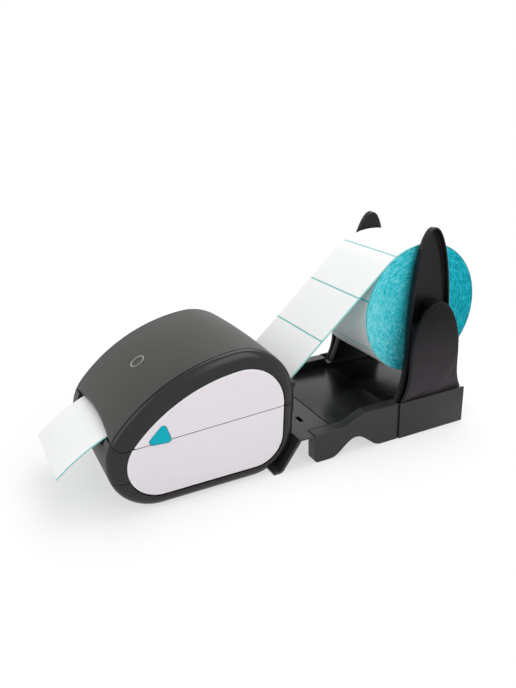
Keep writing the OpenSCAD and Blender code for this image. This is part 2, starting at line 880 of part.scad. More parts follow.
module power_rocker() {
    color("#161616") {
        translate([0, rocker_y, switch_z]) rotate([rocker_rest, 0, 0])
            slab(switch_x - rocker_w / 2, switch_x + rocker_w / 2)
                polygon([[-rocker_back, -rocker_half], [rocker_tip, -rocker_half], [rocker_dip, 0],
                    [rocker_tip, rocker_half], [-rocker_back, rocker_half]]);
        rocker_bar(rocker_pin_l, rocker_pin_r);
    }
}

module gap_sensor() {
    color("#202020") {
        block([-sensor_w / 2, sensor_y, deck_under - sensor_drop],
            [sensor_w / 2, sensor_y + sensor_l, deck_z]);
        block([-sensor_w / 2 - sensor_flange.x, sensor_y - sensor_flange.y, deck_under - sensor_drop],
            [sensor_w / 2 + sensor_flange.x, sensor_y + sensor_l + sensor_flange.y, deck_under]);
    }
}

module printer_feet() {
    color("#1c1c1c") for (x = [-foot_x, foot_x], y = [nose_y + foot_front, rear_y - foot_back])
        translate([x, y, 0]) cylinder(r1 = foot_r - foot_taper, r2 = foot_r, h = foot_h);
}

module base_screws() {
    color("#9a9a9a") for (x = [-1, 1], y = screw_ys) translate([x * screw_x, y, foot_h]) {
        translate([0, 0, screw_head_h - screw_head_t]) cylinder(r = screw_head_r, h = screw_head_t);
        cylinder(r = screw_r, h = screw_top - foot_h);
    }
}

module hinge_brackets() {
    color("#2b2a2a") for (side = [-1, 1]) mirrored(side) difference() {
        union() {
            bar_x([hinge_y, hinge_z], arm_x[0], arm_x[1], knuckle_r + arm_eye);
            block([arm_x[0], arm_y, arm_low], [arm_x[1], arm_y + arm_t, hinge_z]);
        }
        bar_x([hinge_y, hinge_z], 0, big, hinge_r + run_fit);
    }
}

module platen_roller() {
    color("#1a1a1a") difference() {
        bar_x([platen_y, platen_z], -liner_half - platen_over, liner_half + platen_over, platen_r);
        bar_x([platen_y, platen_z], -big, big, shaft_r);
    }
}

module platen_shaft() {
    color("#b4b6b8") bar_x([platen_y, platen_z],
        -cheek_out - shaft_over[0], gear_x + gear_w + shaft_over[1], shaft_r);
}

module platen_gear() {
    color("#e9e6da") difference() {
        translate([0, platen_y, platen_z]) slab(gear_x, gear_x + gear_w)
            polygon(gear_points(platen_teeth, gear_m, platen_phase));
        bar_x([platen_y, platen_z], 0, big, shaft_r);
    }
}

module idler_gear() {
    color("#e9e6da") difference() {
        translate([0, idler_c.x, idler_c.y]) slab(gear_x, gear_x + gear_w)
            polygon(gear_points(idler_teeth, gear_m, idler_phase));
        bar_x(idler_c, 0, big, idler_pin_r + run_fit);
    }
}

module motor_pinion() {
    color("#c9a24a") {
        translate([0, pinion_c.x, pinion_c.y]) slab(gear_x, gear_x + gear_w)
            polygon(gear_points(pinion_teeth, gear_m, pinion_phase));
        bar_x(pinion_c, cheek_in - motor_l / 2 + motor_shaft_gap, gear_x + gear_w, motor_shaft_r);
    }
}

// One paper guide: the fence above the deck and the rack under it
module paper_guide(side) {
    color("#5a5a5a") mirrored(side) {
        block([fence_in, guide_y - fence_half, deck_z + pass_gap],
            [fence_in + fence_t, guide_y + fence_half, deck_z + fence_h]);
        block([fence_in, guide_y + side * rack_mid - neck_w / 2, rack_z],
            [fence_in + fence_t, guide_y + side * rack_mid + neck_w / 2, deck_z + over]);
        translate([0, guide_y, rack_z]) mirror([0, side > 0 ? 0 : 1, 0]) linear_extrude(rack_t)
            polygon(concat(
                [for (i = [-rack_teeth:rack_teeth - 1])
                    for (k = tooth) [(i + 0.5 + k[0]) * PI * guide_m, guide_pr - k[1] * guide_m]],
                [[fence_in + fence_t, guide_pr + guide_m * dedendum],
                    [fence_in + fence_t, rack_mid + rack_t / 2],
                    [-(rack_teeth + 1) * PI * guide_m, rack_mid + rack_t / 2],
                    [-(rack_teeth + 1) * PI * guide_m, guide_pr + guide_m * dedendum]]));
    }
}

module guide_pinion() {
    color("#e9e6da") translate([0, guide_y, rack_z]) difference() {
        linear_extrude(rack_t) polygon(gear_points(guide_teeth, guide_m, 90));
        translate([0, 0, -over]) cylinder(r = guide_pin_r + run_fit, h = rack_t + 2 * over);
    }
}

// Puts a piece on the crown, with +Z along the surface's normal at the feed button
module at_feed() {
    translate([0, feed_p.x, feed_p.y]) rotate([feed_a - 90, 0, 0]) children();
}

module cover_shell() {
    color(shell_dark) difference() {
        union() {
            intersection() {
                union() {
                    middle_shell(seam_h);
                    intersection() {
                        slab(-seam_h, seam_h) polygon(outline(-wall / 4));
                        union() {
                            for (x = boss_xs) block([x, boss_y[0], frame_top], [x + boss_w, boss_y[1], big]);
                            at_feed() for (x = [-board_post, board_post])
                                translate([x, 0, board_drop]) cylinder(r = post_r, h = post_h);
                        }
                    }
                }
                cover_zone();
            }
            for (side = [-1, 1]) mirrored(side)
                bar_x([hinge_y, hinge_z], knuckle_x[0], knuckle_x[1], knuckle_r);
        }
        for (side = [-1, 1]) mirrored(side) {
            bar_x([hinge_y, hinge_z], 0, big, hinge_r);
            block([arm_x[0] - arm_gap, rear_y - arm_notch, 0],
                [arm_x[1] + arm_gap, big, hinge_z + knuckle_r + arm_room]);
        }
        block([-slot_half, rear_y - inlet_cut, 0], [slot_half, big, hinge_z + inlet_top]);
        at_feed() translate([0, 0, -2 * wall]) cylinder(r = ring_out, h = 4 * wall);
    }
}

module cover_rim(side) {
    color(rim_dark) mirrored(side) difference() {
        union() {
            intersection() {
                rim_solid();
                cover_zone();
            }
            block([seat_x, seat_y[1] - seat_web, seat_z], [seam_h + over, seat_y[1], seat_top]);
            block([seat_x, seat_y[0], seat_z], [seat_x + seat_t, seat_y[1], seat_top]);
        }
        panel_recess();
        slab(seam_h - over, big) latch_shape(pass_gap);
    }
}

module cover_panel(side) {
    color(panel_pale) mirrored(side) difference() {
        intersection() {
            slab(side_h - panel_t, side_h) rim_outline(1, panel_gap);
            cover_zone();
        }
        slab(0, big) latch_shape(pass_gap);
    }
}

module tear_bar() {
    tooth_n = floor(2 * tear_half / tear_pitch);
    half = tooth_n * tear_pitch / 2;
    color("#a7a9ab") translate([0, frame_y[0], 0]) rotate([90, 0, 0]) linear_extrude(tear_t)
        polygon(concat(
            [for (i = [0:tooth_n - 1]) for (k = [[0, tear_depth], [0.5, 0]])
                [-half + (i + k[0]) * tear_pitch, head_z + tear_lift + k[1]]],
            [[half, head_z + tear_lift + tear_depth],
                [half, head_z + tear_top], [-half, head_z + tear_top]]));
}

// Side view of the head frame: a front edge, a slope behind the nose and a top plate of thickness t
function frame_bow(t) = [
    [frame_y[0], head_z + frame_low], [frame_y[0], head_z + frame_lip],
    [frame_knee, frame_top], [frame_y[1], frame_top],
    [frame_y[1], frame_top - t], [frame_knee + frame_bend, frame_top - t],
    [frame_y[0] + frame_t, min(head_z + frame_lip_in, frame_top - t)],
    [frame_y[0] + frame_t, head_z + frame_low]];

module head_frame() {
    color("#77797c") {
        slab(-frame_half, frame_half) polygon(frame_bow(frame_t));
        for (side = [-1, 1]) mirrored(side) slab(head_half + head_gap, frame_half)
            polygon(frame_bow(frame_top - head_z - frame_low));
    }
}

module button_board() {
    color("#2f6b45") at_feed() {
        block([-button_board_w / 2, -button_board_l / 2, board_drop - board_t],
            [button_board_w / 2, button_board_l / 2, board_drop]);
        block([-tact_half, -tact_half, board_drop],
            [tact_half, tact_half, button_base - feed_travel - tact_gap]);
    }
}

module light_ring() {
    color("#b8b8b2") at_feed() translate([0, 0, -wall]) difference() {
        cylinder(r = ring_out, h = wall + ring_proud);
        translate([0, 0, -over]) cylinder(r = ring_r, h = wall + 2 * over);
    }
}

module hinge_pins() {
    color("#b4b6b8") for (side = [-1, 1]) mirrored(side)
        bar_x([hinge_y, hinge_z], knuckle_x[0], knuckle_x[1], hinge_r);
}

module print_head() {
    color("#cfcabb") block([-head_half, head_y[0], head_z], [head_half, head_y[1], head_z + head_t]);
}

module head_sink() {
    color("#a9acaf") {
        block([-head_half, sink_y, head_z + head_t], [head_half, head_y[1], head_z + head_t + sink_t / 2]);
        for (y = [sink_y:sink_pitch:head_y[1] - sink_rib])
            block([-head_half + sink_end, y, head_z + head_t],
                [head_half - sink_end, y + sink_rib, head_z + head_t + sink_t]);
    }
}

// A helical spring of n turns along +Z: centre radius r, wire radius w, height h
module coil_spring(r, w, h, n) {
    steps = 8;
    rings = n * steps;
    sides = 6;
    points = [for (i = [0:rings], k = [0:sides - 1])
        let (a = i * 360 / steps, z = w + (h - 2 * w) * i / rings, b = k * 360 / sides)
        [(r + w * cos(b)) * cos(a), (r + w * cos(b)) * sin(a), z + w * sin(b)]];
    walls = [for (i = [0:rings - 1], k = [0:sides - 1])
        let (p = i * sides + k, q = i * sides + (k + 1) % sides)
            each [[p, q + sides, q], [p, p + sides, q + sides]]];
    end = rings * sides;
    caps = [for (k = [1:sides - 2]) each [[0, k, k + 1], [end, end + k + 1, end + k]]];
    polyhedron(points, concat(walls, caps), convexity = 10);
}

module head_springs() {
    spring_z = head_z + head_t + sink_t / 2;
    color("#c4c6c8") for (x = [-spring_x, spring_x])
        translate([x, spring_y, spring_z])
            coil_spring(head_coil_r, wire_r, frame_top - frame_t - spring_z, coil_turns);
}

module feed_button() {
    color("#454341") at_feed() {
        translate([0, 0, button_base]) cylinder(r = feed_r, h = -button_base);
        translate([0, 0, button_base]) cylinder(r = flange_r, h = flange_z - button_base);
    }
}

module release_button(side) {
    color(teal) mirrored(side) {
        slab(latch_in - over, side_h + latch_proud) latch_shape(0);
        slab(latch_in - latch_flange, latch_in) latch_shape(latch_lip);
        block([latch_in - latch_flange, hook_y[0], hook_z[0]], [latch_in, hook_y[1], hook_z[1]]);
    }
}

module release_spring(side) {
    color("#c4c6c8") mirrored(side)
        translate([seat_x + seat_t, latch_spring.x, latch_spring.y]) rotate([0, 90, 0])
        coil_spring(latch_coil_r, wire_r, latch_in - latch_flange - seat_x - seat_t, coil_turns);
}

module stand_floor() {
    color(stand_dark) difference() {
        union() {
            block([-skirt_in, seam_y, stand_z - floor_t], [skirt_in, floor_back, stand_z]);
            block([-floor_side, block_y[0], stand_z - floor_t], [floor_side, floor_back, stand_z]);
            for (side = [-1, 1], y = bar_ys) mirrored(side)
                block([tunnel_x[0], y - bar_w / 2 - tunnel_t, bar_z - tunnel_t],
                    [tunnel_x[1], y + bar_w / 2 + tunnel_t, stand_z - floor_t / 2]);
        }
        for (y = bar_ys)
            block([-big, y - bar_w / 2 - pass_gap, bar_z - pass_gap],
                [big, y + bar_w / 2 + pass_gap, bar_z + bar_t + pass_gap]);
    }
}

// A skirt in side view: a bell-shaped arch below, a ramp up to the raised wall above
module stand_skirt(side) {
    arch_y = skirt_y + 54;
    ramp_y = rear_y + 60.5;
    ramp_l = 24;
    end_y = block_y[0] - 0.4;
    toe = 3;
    color(stand_dark) mirrored(side) slab(skirt_in, stand_half) polygon(concat(
        [[skirt_y, toe], [skirt_y + toe, 0]],
        [for (i = [0:20]) [arch_y + arch_w * (i / 20 - 0.5), arch_h * (1 - cos(18 * i)) / 2]],
        [[end_y, 0], [end_y, side_z], [ramp_y + ramp_l, side_z], [ramp_y, stand_z], [skirt_y, stand_z]]));
}

module stand_leg() {
    color(stand_dark) block([-floor_side, leg_y, 0], [floor_side, leg_y + leg_t, stand_z - floor_t]);
}

// The plate between stand and printer, with a hook that slips under the printer's heel
module docking_plate() {
    toe_y = dock_y - dock_run;
    lip_y = toe_y - dock_lip;
    dock_under = stand_z - dock_t;
    color(stand_dark) difference() {
        union() {
            slab(-dock_half, dock_half) polygon([
                [lip_y, 0], [toe_y + toe_under, 0], [dock_y + knee_under, dock_under], [dock_end, dock_under],
                [dock_end, stand_z], [dock_y, stand_z], [toe_y - toe_over, dock_t], [lip_y, dock_t]]);
            block([-skirt_in + dock_side, skirt_y - over, dock_under],
                [skirt_in - dock_side, seam_y - seam_gap, stand_z]);
        }
        for (side = [-1, 1]) mirrored(side) {
            block([dock_slot_x[0], dock_slot_y[0], 0], [dock_slot_x[1], dock_slot_y[1], big]);
            block([notch_x[0], notch_y[0], stand_z - notch_drop], [notch_x[1], notch_y[1], big]);
        }
    }
}

module slide_block(side) {
    color(stand_dark) mirrored(side) {
        block([block_out - block_wall, block_y[0], desk_gap], [block_out, block_y[1], side_z]);
        block([block_in, block_y[0], block_base], [block_out - over, block_y[1], foot_z]);
        block([block_in, block_y[1] - end_wall, block_base],
            [fin_out - fin_d - pass_gap, block_y[1], side_z]);
        for (y = bar_ys)
            block([bar_in, y - bar_w / 2, bar_z], [block_out - over, y + bar_w / 2, bar_z + bar_t]);
    }
}

module ear(side) {
    color(stand_dark) mirrored(side) difference() {
        translate([ear_in, 0, foot_z]) rotate([0, -ear_lean, 0])
        translate([-ear_in, 0, -foot_z]) difference() {
            slab(ear_in, ear_in + ear_d) polygon(ear_points(foot_z - over, 0));
            slab(ear_in + ear_wall, ear_in + ear_d + over) polygon(ear_points(foot_z + ear_wall, ear_wall));
        }
        block([0, -big, 0], [big, big, foot_z]);
        bar_x(roll_c, 0, big, hub_stub_r);
    }
}

module fin(side) {
    color(stand_dark) mirrored(side) difference() {
        slab(fin_out - fin_d, fin_out) polygon(fin_points(foot_z, 0));
        slab(0, fin_out - ear_wall) polygon(fin_points(foot_z - over, ear_wall));
        difference() {
            slab(fin_out - leaf_step, fin_out + over) polygon([
                [leaf_c.x, 0], [fin_end + over, 0], [fin_end + over, leaf_top],
                [fin_y + swell(leaf_top, fin_half, fin_belly, fin_top, fin_flare, stand_z), leaf_top],
                [leaf_c.x + leaf_r, leaf_c.y], [leaf_c.x, leaf_c.y]]);
            bar_x(leaf_c, 0, big, leaf_r);
        }
    }
}

module hub(side) {
    spacer_out = hub_seat - hub_set;
    color("#2a2929") mirrored(side) {
        bar_x(roll_c, hub_in, core_half + hub_gap, core_bore / 2 - hub_clear);
        bar_x(roll_c, core_half + hub_gap, spacer_out, hub_spacer_r);
        bar_x(roll_c, spacer_out - over, hub_seat + hub_stub_l, hub_stub_r);
        block([hub_seat + hub_plate_x[0], roll_y - hub_plate.x, roll_z - hub_plate.y],
            [hub_seat + hub_plate_x[1], roll_y + hub_plate.x, roll_z + hub_plate.y]);
    }
}

module label_roll() {
    color("#4cbccb") difference() {
        bar_x(roll_c, -liner_half, liner_half, roll_r);
        bar_x(roll_c, -big, big, core_bore / 2 + core_wall);
    }
}

module roll_core() {
    color("#b89668") difference() {
        bar_x(roll_c, -core_half, core_half, core_bore / 2 + core_wall);
        bar_x(roll_c, -big, big, core_bore / 2);
    }
}

// The liner with its labels: one sheet from the strip's tip to the end of the wrap
module label_web() {
    color("#f2f2ef") {
        slab(-liner_half, liner_half) polygon(web_points(0, web_l, 0, liner_t));
        for (e = label_ends)
            slab(-label_w / 2, label_w / 2) polygon(web_points(e[0], e[1], liner_t / 2, web_t));
    }
}

base_shell();
base_rim(1);  // base_rim_right
base_rim(-1);  // base_rim_left
base_panel(1);  // base_panel_right
base_panel(-1);  // base_panel_left
front_bezel();
print_frame();
platen_bushes();
drive_motor();
main_board();
power_jack();
data_port();
switch_housing();
gap_sensor();
printer_feet();
base_screws();
hinge_brackets();
power_rocker();
platen_roller();
platen_shaft();
platen_gear();
idler_gear();
motor_pinion();
paper_guide(1);  // paper_guide_right
paper_guide(-1);  // paper_guide_left
guide_pinion();
cover_shell();
cover_rim(1);  // cover_rim_right
cover_rim(-1);  // cover_rim_left
cover_panel(1);  // cover_panel_right
cover_panel(-1);  // cover_panel_left
tear_bar();
head_frame();
button_board();
light_ring();
hinge_pins();
print_head();
head_sink();
head_springs();
feed_button();
release_button(1);  // release_button_right
release_button(-1);  // release_button_left
release_spring(1);  // release_spring_right
release_spring(-1);  // release_spring_left
stand_floor();
stand_skirt(1);  // stand_skirt_right
stand_skirt(-1);  // stand_skirt_left
stand_leg();
docking_plate();
slide_block(1);  // slide_block_right
slide_block(-1);  // slide_block_left
ear(1);  // ear_right
ear(-1);  // ear_left
fin(1);  // fin_right
fin(-1);  // fin_left
hub(1);  // hub_right
hub(-1);  // hub_left
label_roll();
roll_core();
label_web();
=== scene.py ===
"""Looks of a desktop label printer with a docked roll stand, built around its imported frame.

Lengths are millimetres in the frame's axes until a mesh is made: X across, Y from the label slot
back to the roll, Z up from the desk.
"""

from __future__ import annotations

import logging
import math
from dataclasses import dataclass, field
from enum import Enum
from typing import Iterable, NamedTuple, Sequence

import bmesh
import bpy
import numpy as np
from mathutils import Matrix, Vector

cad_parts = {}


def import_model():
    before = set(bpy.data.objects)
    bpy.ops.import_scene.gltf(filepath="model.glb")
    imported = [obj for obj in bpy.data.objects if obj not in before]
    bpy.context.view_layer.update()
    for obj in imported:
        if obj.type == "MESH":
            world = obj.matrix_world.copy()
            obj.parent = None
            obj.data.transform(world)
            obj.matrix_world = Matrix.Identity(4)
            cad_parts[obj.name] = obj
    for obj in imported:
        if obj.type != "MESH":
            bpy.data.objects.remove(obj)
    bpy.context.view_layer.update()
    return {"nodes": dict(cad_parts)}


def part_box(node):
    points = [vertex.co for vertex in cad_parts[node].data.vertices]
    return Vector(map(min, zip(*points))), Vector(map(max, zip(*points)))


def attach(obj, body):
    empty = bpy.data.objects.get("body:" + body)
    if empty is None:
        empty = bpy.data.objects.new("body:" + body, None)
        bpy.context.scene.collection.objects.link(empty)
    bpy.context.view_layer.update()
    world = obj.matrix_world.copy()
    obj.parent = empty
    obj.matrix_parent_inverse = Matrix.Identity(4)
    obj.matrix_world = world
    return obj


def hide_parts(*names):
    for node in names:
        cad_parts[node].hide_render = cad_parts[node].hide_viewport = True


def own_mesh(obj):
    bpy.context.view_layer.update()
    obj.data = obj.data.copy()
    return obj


LOG = logging.getLogger("label_printer")
MM = 0.001

Array = np.ndarray
Pair = tuple[float, float]
Triple = tuple[float, float, float]
Colour = Triple
Point = Sequence[float]
Object = bpy.types.Object
Material = bpy.types.Material
Socket = bpy.types.NodeSocket

BLACK: Colour = (0.0, 0.0, 0.0)
WHITE: Colour = (1.0, 1.0, 1.0)


def tone(red: float, green: float, blue: float) -> Colour:
    """Turns a colour of 0 to 255 per channel, as a screen shows it, into linear light.

    Args:
        red: The red channel.
        green: The green channel.
        blue: The blue channel.

    Returns:
        The three linear channels from 0 to 1.
    """
    c = np.array((red, green, blue)) / 255.0
    linear = np.where(c <= 0.04045, c / 12.92, ((c + 0.055) / 1.055) ** 2.4)
    return tuple(float(v) for v in linear)


class Side(Enum):
    """The two sides of the machine, as the sign of X."""

    RIGHT = 1
    LEFT = -1

    @property
    def tag(self) -> str:
        """The side's word in node and body names."""
        return self.name.lower()


class Cap(Enum):
    """How the ends of carried rings close: by one face, or by a band between a ring's two halves."""

    FACE = "face"
    BAND = "band"


class Surface(NamedTuple):
    """A closed mesh: its points in millimetres, its four-sided faces and its flat ends."""

    points: Array
    quads: Array
    ends: tuple[Array, ...] = ()


def carry(rings: Array, cap: Cap = Cap.FACE) -> Surface:
    """Joins closed rings into a tube: point i of ring k meets point i of ring k + 1.

    Args:
        rings: Points of the rings, as (rings, points, 3).
        cap: How the first and the last ring are closed.

    Returns:
        The closed surface.
    """
    count, n, _ = rings.shape
    index = np.arange(count * n).reshape(count, n)
    a, b = index[:-1], index[1:]
    quads = np.stack([a, np.roll(a, -1, 1), np.roll(b, -1, 1), b], -1).reshape(-1, 4)
    points, ends = rings.reshape(-1, 3), index[[0, -1]]
    if cap is Cap.FACE:
        return Surface(points, quads, tuple(ends))
    near, far = ends[:, : n // 2], ends[:, n // 2 :][:, ::-1]
    bands = np.stack([near[:, :-1], near[:, 1:], far[:, 1:], far[:, :-1]], -1).reshape(-1, 4)
    return Surface(points, np.concatenate([quads, bands]))


def close_round(grid: Array) -> Surface:
    """Joins a grid of points into a ring: its last row and its last column meet the first ones.

    Args:
        grid: Points, as (rows, columns, 3).

    Returns:
        The closed surface.
    """
    rows, columns, _ = grid.shape
    index = np.arange(rows * columns).reshape(rows, columns)
    b = np.roll(index, -1, 0)
    quads = np.stack([index, np.roll(index, -1, 1), np.roll(b, -1, 1), b], -1).reshape(-1, 4)
    return Surface(grid.reshape(-1, 3), quads)


def make_object(name: str, parts: Sequence[Surface], sharp: float = 32.0) -> Object:
    """Puts closed surfaces into one object at the origin, with faces outwards and smooth shading.

    Args:
        name: The piece's name.
        parts: The closed surfaces.
        sharp: Angle in degrees over which an edge shows.

    Returns:
        The new object, linked to the scene.
    """
    faces, base = [], 0
    for part in parts:
        faces += (part.quads + base).tolist()
        faces += [(end + base).tolist() for end in part.ends]
        base += len(part.points)
    points = np.concatenate([part.points for part in parts])
    mesh = bpy.data.meshes.new(name)
    mesh.from_pydata((points * MM).tolist(), [], faces)
    mesh.update()
    work = bmesh.new()
    work.from_mesh(mesh)
    bmesh.ops.recalc_face_normals(work, faces=work.faces)
    work.to_mesh(mesh)
    work.free()
    obj = bpy.data.objects.new(name, mesh)
    bpy.context.scene.collection.objects.link(obj)
    soften(obj, sharp)
    return obj


def soften(obj: Object, sharp: float = 32.0) -> None:
    """Shades a mesh smooth, apart from edges sharper than an angle in degrees."""
    obj.data.shade_smooth()
    obj.data.set_sharp_from_angle(angle=math.radians(sharp))


def carve(
    obj: Object, tools: Sequence[Object], keep: bool = False
) -> Object:
    """Cuts tools out of an object, or keeps only what lies inside them, and removes the tools.

    Args:
        obj: The piece to cut.
        tools: Closed meshes that cut it.
        keep: True keeps the inside of each tool in place of the outside.

    Returns:
        The same object with its cut mesh.
    """
    for tool in tools:
        cut = obj.modifiers.new("cut", "BOOLEAN")
        cut.operation = "INTERSECT" if keep else "DIFFERENCE"
        cut.solver = "EXACT"
        cut.object = tool
    bpy.context.view_layer.update()
    graph = bpy.context.evaluated_depsgraph_get()
    mesh = bpy.data.meshes.new_from_object(obj.evaluated_get(graph))
    obj.modifiers.clear()
    obj.data = mesh
    for tool in tools:
        bpy.data.objects.remove(tool)
    soften(obj)
    return obj


def across(side: Array, xs: Array) -> Array:
    """Repeats a side view at each x.

    Args:
        side: The side view's (y, z) points.
        xs: The places across the machine.

    Returns:
        One ring of (x, y, z) points for each x.
    """
    rings = np.empty((len(xs), len(side), 3))
    rings[..., 0] = xs[:, None]
    rings[..., 1:] = side[None]
    return rings


def block(low: Point, high: Point) -> Surface:
    """A plain box for cutting: a rectangle in side view, carried along X.

    Args:
        low: The lowest corner.
        high: The highest corner.

    Returns:
        The closed surface.
    """
    (x0, y0, z0), (x1, y1, z1) = low, high
    side = np.array([(y0, z0), (y1, z0), (y1, z1), (y0, z1)], float)
    return carry(across(side, np.array([x0, x1], float)))


def slim_bar(low: Point, high: Point, radius: float, steps: int = 4) -> Surface:
    """A bar whose edges are all rounded: a round-cornered section carried along X, drawn in at both ends.

    Args:
        low: The lowest corner.
        high: The highest corner.
        radius: Radius of the edges.
        steps: Facets in a quarter of an edge.

    Returns:
        The closed surface.
    """
    low, high = np.array(low, float), np.array(high, float)
    a = np.linspace(0, math.pi / 2, steps + 1)
    turn = np.concatenate([a + k * math.pi / 2 for k in range(4)])
    corner = np.repeat(np.array([(1, 1), (-1, 1), (-1, -1), (1, -1)], float), steps + 1, 0)
    middle, half = (low[1:] + high[1:]) / 2, (high[1:] - low[1:]) / 2
    normal = np.stack([np.cos(turn), np.sin(turn)], 1)
    from_end, drawn = radius * (1 - np.sin(a)), radius * (1 - np.cos(a))
    inset = np.concatenate([drawn[::-1], drawn])[:, None, None]
    points = np.empty((2 * len(a), len(turn), 3))
    points[..., 0] = np.concatenate([low[0] + from_end[::-1], high[0] - from_end])[:, None]
    points[..., 1:] = middle + corner * (half - radius) + normal * (radius - inset)
    return carry(points)


def spokes(axis: Array, beside: Point, steps: int) -> Array:
    """Unit vectors all round an axis.

    Args:
        axis: The axis as a unit vector.
        beside: Another direction, to which the first vector is square too.
        steps: How many vectors there are.

    Returns:
        The vectors in order, as (steps, 3).
    """
    first = np.cross(axis, beside)
    first /= np.linalg.norm(first)
    a = np.linspace(0, 2 * math.pi, steps, endpoint=False)[:, None]
    return np.cos(a) * first + np.sin(a) * np.cross(axis, first)


def lathe(profile: Array, centre: Array, axis: Array, steps: int = 64) -> Surface:
    """Turns a closed profile of (radius, height) points round a unit axis that isn't upright."""
    spoke = spokes(axis, (0.0, 0.0, 1.0), steps)[:, None]
    return close_round(centre + profile[None, :, :1] * spoke + profile[None, :, 1:] * axis)


def round_bar(radius: float, ends: Pair, centre: Array, axis: Array, steps: int = 64) -> Surface:
    """A round bar between two heights on a unit axis: a circle about the axis, carried along it."""
    ring = radius * spokes(axis, (1.0, 0.0, 0.0), steps)
    return carry(np.array([centre + height * axis + ring for height in ends]))


def tube_profile(inner: float, outer: float, low: float, high: float, edge: float) -> Array:
    """The section of a tube with rounded outer edges, as (radius, height) points.

    Args:
        inner: Inner radius.
        outer: Outer radius.
        low: The lower end.
        high: The upper end.
        edge: Size of the rounding.

    Returns:
        The section's points in order.
    """
    cut = 0.3 * edge
    return np.array([
        (inner, low), (outer - edge, low), (outer - cut, low + cut), (outer, low + edge),
        (outer, high - edge), (outer - cut, high - cut), (outer - edge, high), (inner, high),
    ])


def distances(points: Array) -> Array:
    """Distance of each point of a line from its start, along the line."""
    return np.concatenate([[0], np.cumsum(np.linalg.norm(np.diff(points, axis=0), axis=1))])


def at_distance(points: Array, stops: Array) -> Array:
    """Places on a line at distances from its start, straight between the line's own points."""
    s = distances(points)
    return np.stack([np.interp(stops, s, points[:, k]) for k in range(points.shape[1])], 1)


def respace(points: Array, count: int) -> Array:
    """Places a number of points evenly along a line, by its own length."""
    return at_distance(points, np.linspace(0, distances(points)[-1], count))


def fillet(before: Point, corner: Point, after: Point, radius: float, steps: int = 10) -> Array:
    """An arc that rounds a corner: its centre lies on the bisector, at the radius from both sides.

    Args:
        before: A point on the side that leads to the corner.
        corner: The corner.
        after: A point on the side that leaves it.
        radius: The arc's radius.
        steps: How many points the arc has.

    Returns:
        The arc's points in order.
    """
    corner = np.array(corner, float)
    u, v = np.array(before) - corner, np.array(after) - corner
    u, v = u / np.linalg.norm(u), v / np.linalg.norm(v)
    half = math.acos(float(u @ v)) / 2
    centre = corner + (u + v) / np.linalg.norm(u + v) * radius / math.sin(half)
    ends = corner + np.stack([u, v]) * radius / math.tan(half) - centre
    a0, a1 = np.arctan2(ends[:, 1], ends[:, 0])
    a = a0 + np.linspace(0, 1, steps) * ((a1 - a0 + math.pi) % (2 * math.pi) - math.pi)
    return centre + radius * np.stack([np.cos(a), np.sin(a)], 1)


def flip(part: Surface, side: Side) -> Surface:
    """Moves a right-hand surface to a side of the machine."""
    return part._replace(points=part.points * np.array((side.value, 1, 1)))


def box_tool(low: Point, high: Point, side: Side = Side.RIGHT) -> Object:
    """A box that cuts, given for the right side and moved to a side of the machine."""
    return make_object("box_tool", [flip(block(low, high), side)])


@dataclass
class Wiring:
    """A node tree while it is being wired."""

    tree: bpy.types.NodeTree

    def add(self, kind: str, **inputs: object) -> bpy.types.Node:
        """Adds a node and sets or links its inputs, named with underscores for spaces.

        Args:
            kind: Blender's node type.
            **inputs: Socket values, or output sockets to link.

        Returns:
            The new node.
        """
        node = self.tree.nodes.new(kind)
        for key, value in inputs.items():
            self.wire(node.inputs[key.replace("_", " ")], value)
        return node

    def wire(self, socket: Socket, value: object) -> None:
        """Links an output to a socket, or sets the socket's value.

        Args:
            socket: The input.
            value: An output socket, a number or a colour.
        """
        if isinstance(value, bpy.types.NodeSocket):
            self.tree.links.new(value, socket)
        elif isinstance(value, tuple) and len(value) == 3 and socket.type == "RGBA":
            socket.default_value = (*value, 1.0)
        else:
            socket.default_value = value

    def math(self, operation: str, *values: object) -> Socket:
        """A math node.

        Args:
            operation: Blender's name of the operation.
            *values: Numbers, or output sockets to link.

        Returns:
            The result's socket.
        """
        node = self.tree.nodes.new("ShaderNodeMath")
        node.operation = operation
        for socket, value in zip(node.inputs, values):
            self.wire(socket, value)
        return node.outputs[0]

    def seen(self) -> Socket:
        """One for a ray that shows things, from the camera, mirrored or let through, and else zero.

        Returns:
            The value's socket.
        """
        rays = self.add("ShaderNodeLightPath").outputs
        share = self.math("MAXIMUM", rays["Is Camera Ray"], rays["Is Glossy Ray"])
        return self.math("MAXIMUM", share, rays["Is Transmission Ray"])

    def show(self, output: str, share: object, first: Socket, second: Socket) -> None:
        """Sends a mix of two shaders to the tree's output.

        Args:
            output: Name of the output node.
            share: Share of the second shader, from 0 to 1.
            first: The first shader.
            second: The second shader.
        """
        node = self.tree.nodes.new("ShaderNodeMixShader")
        for socket, value in zip(node.inputs, (share, first, second)):
            self.wire(socket, value)
        self.wire(self.tree.nodes[output].inputs["Surface"], node.outputs[0])


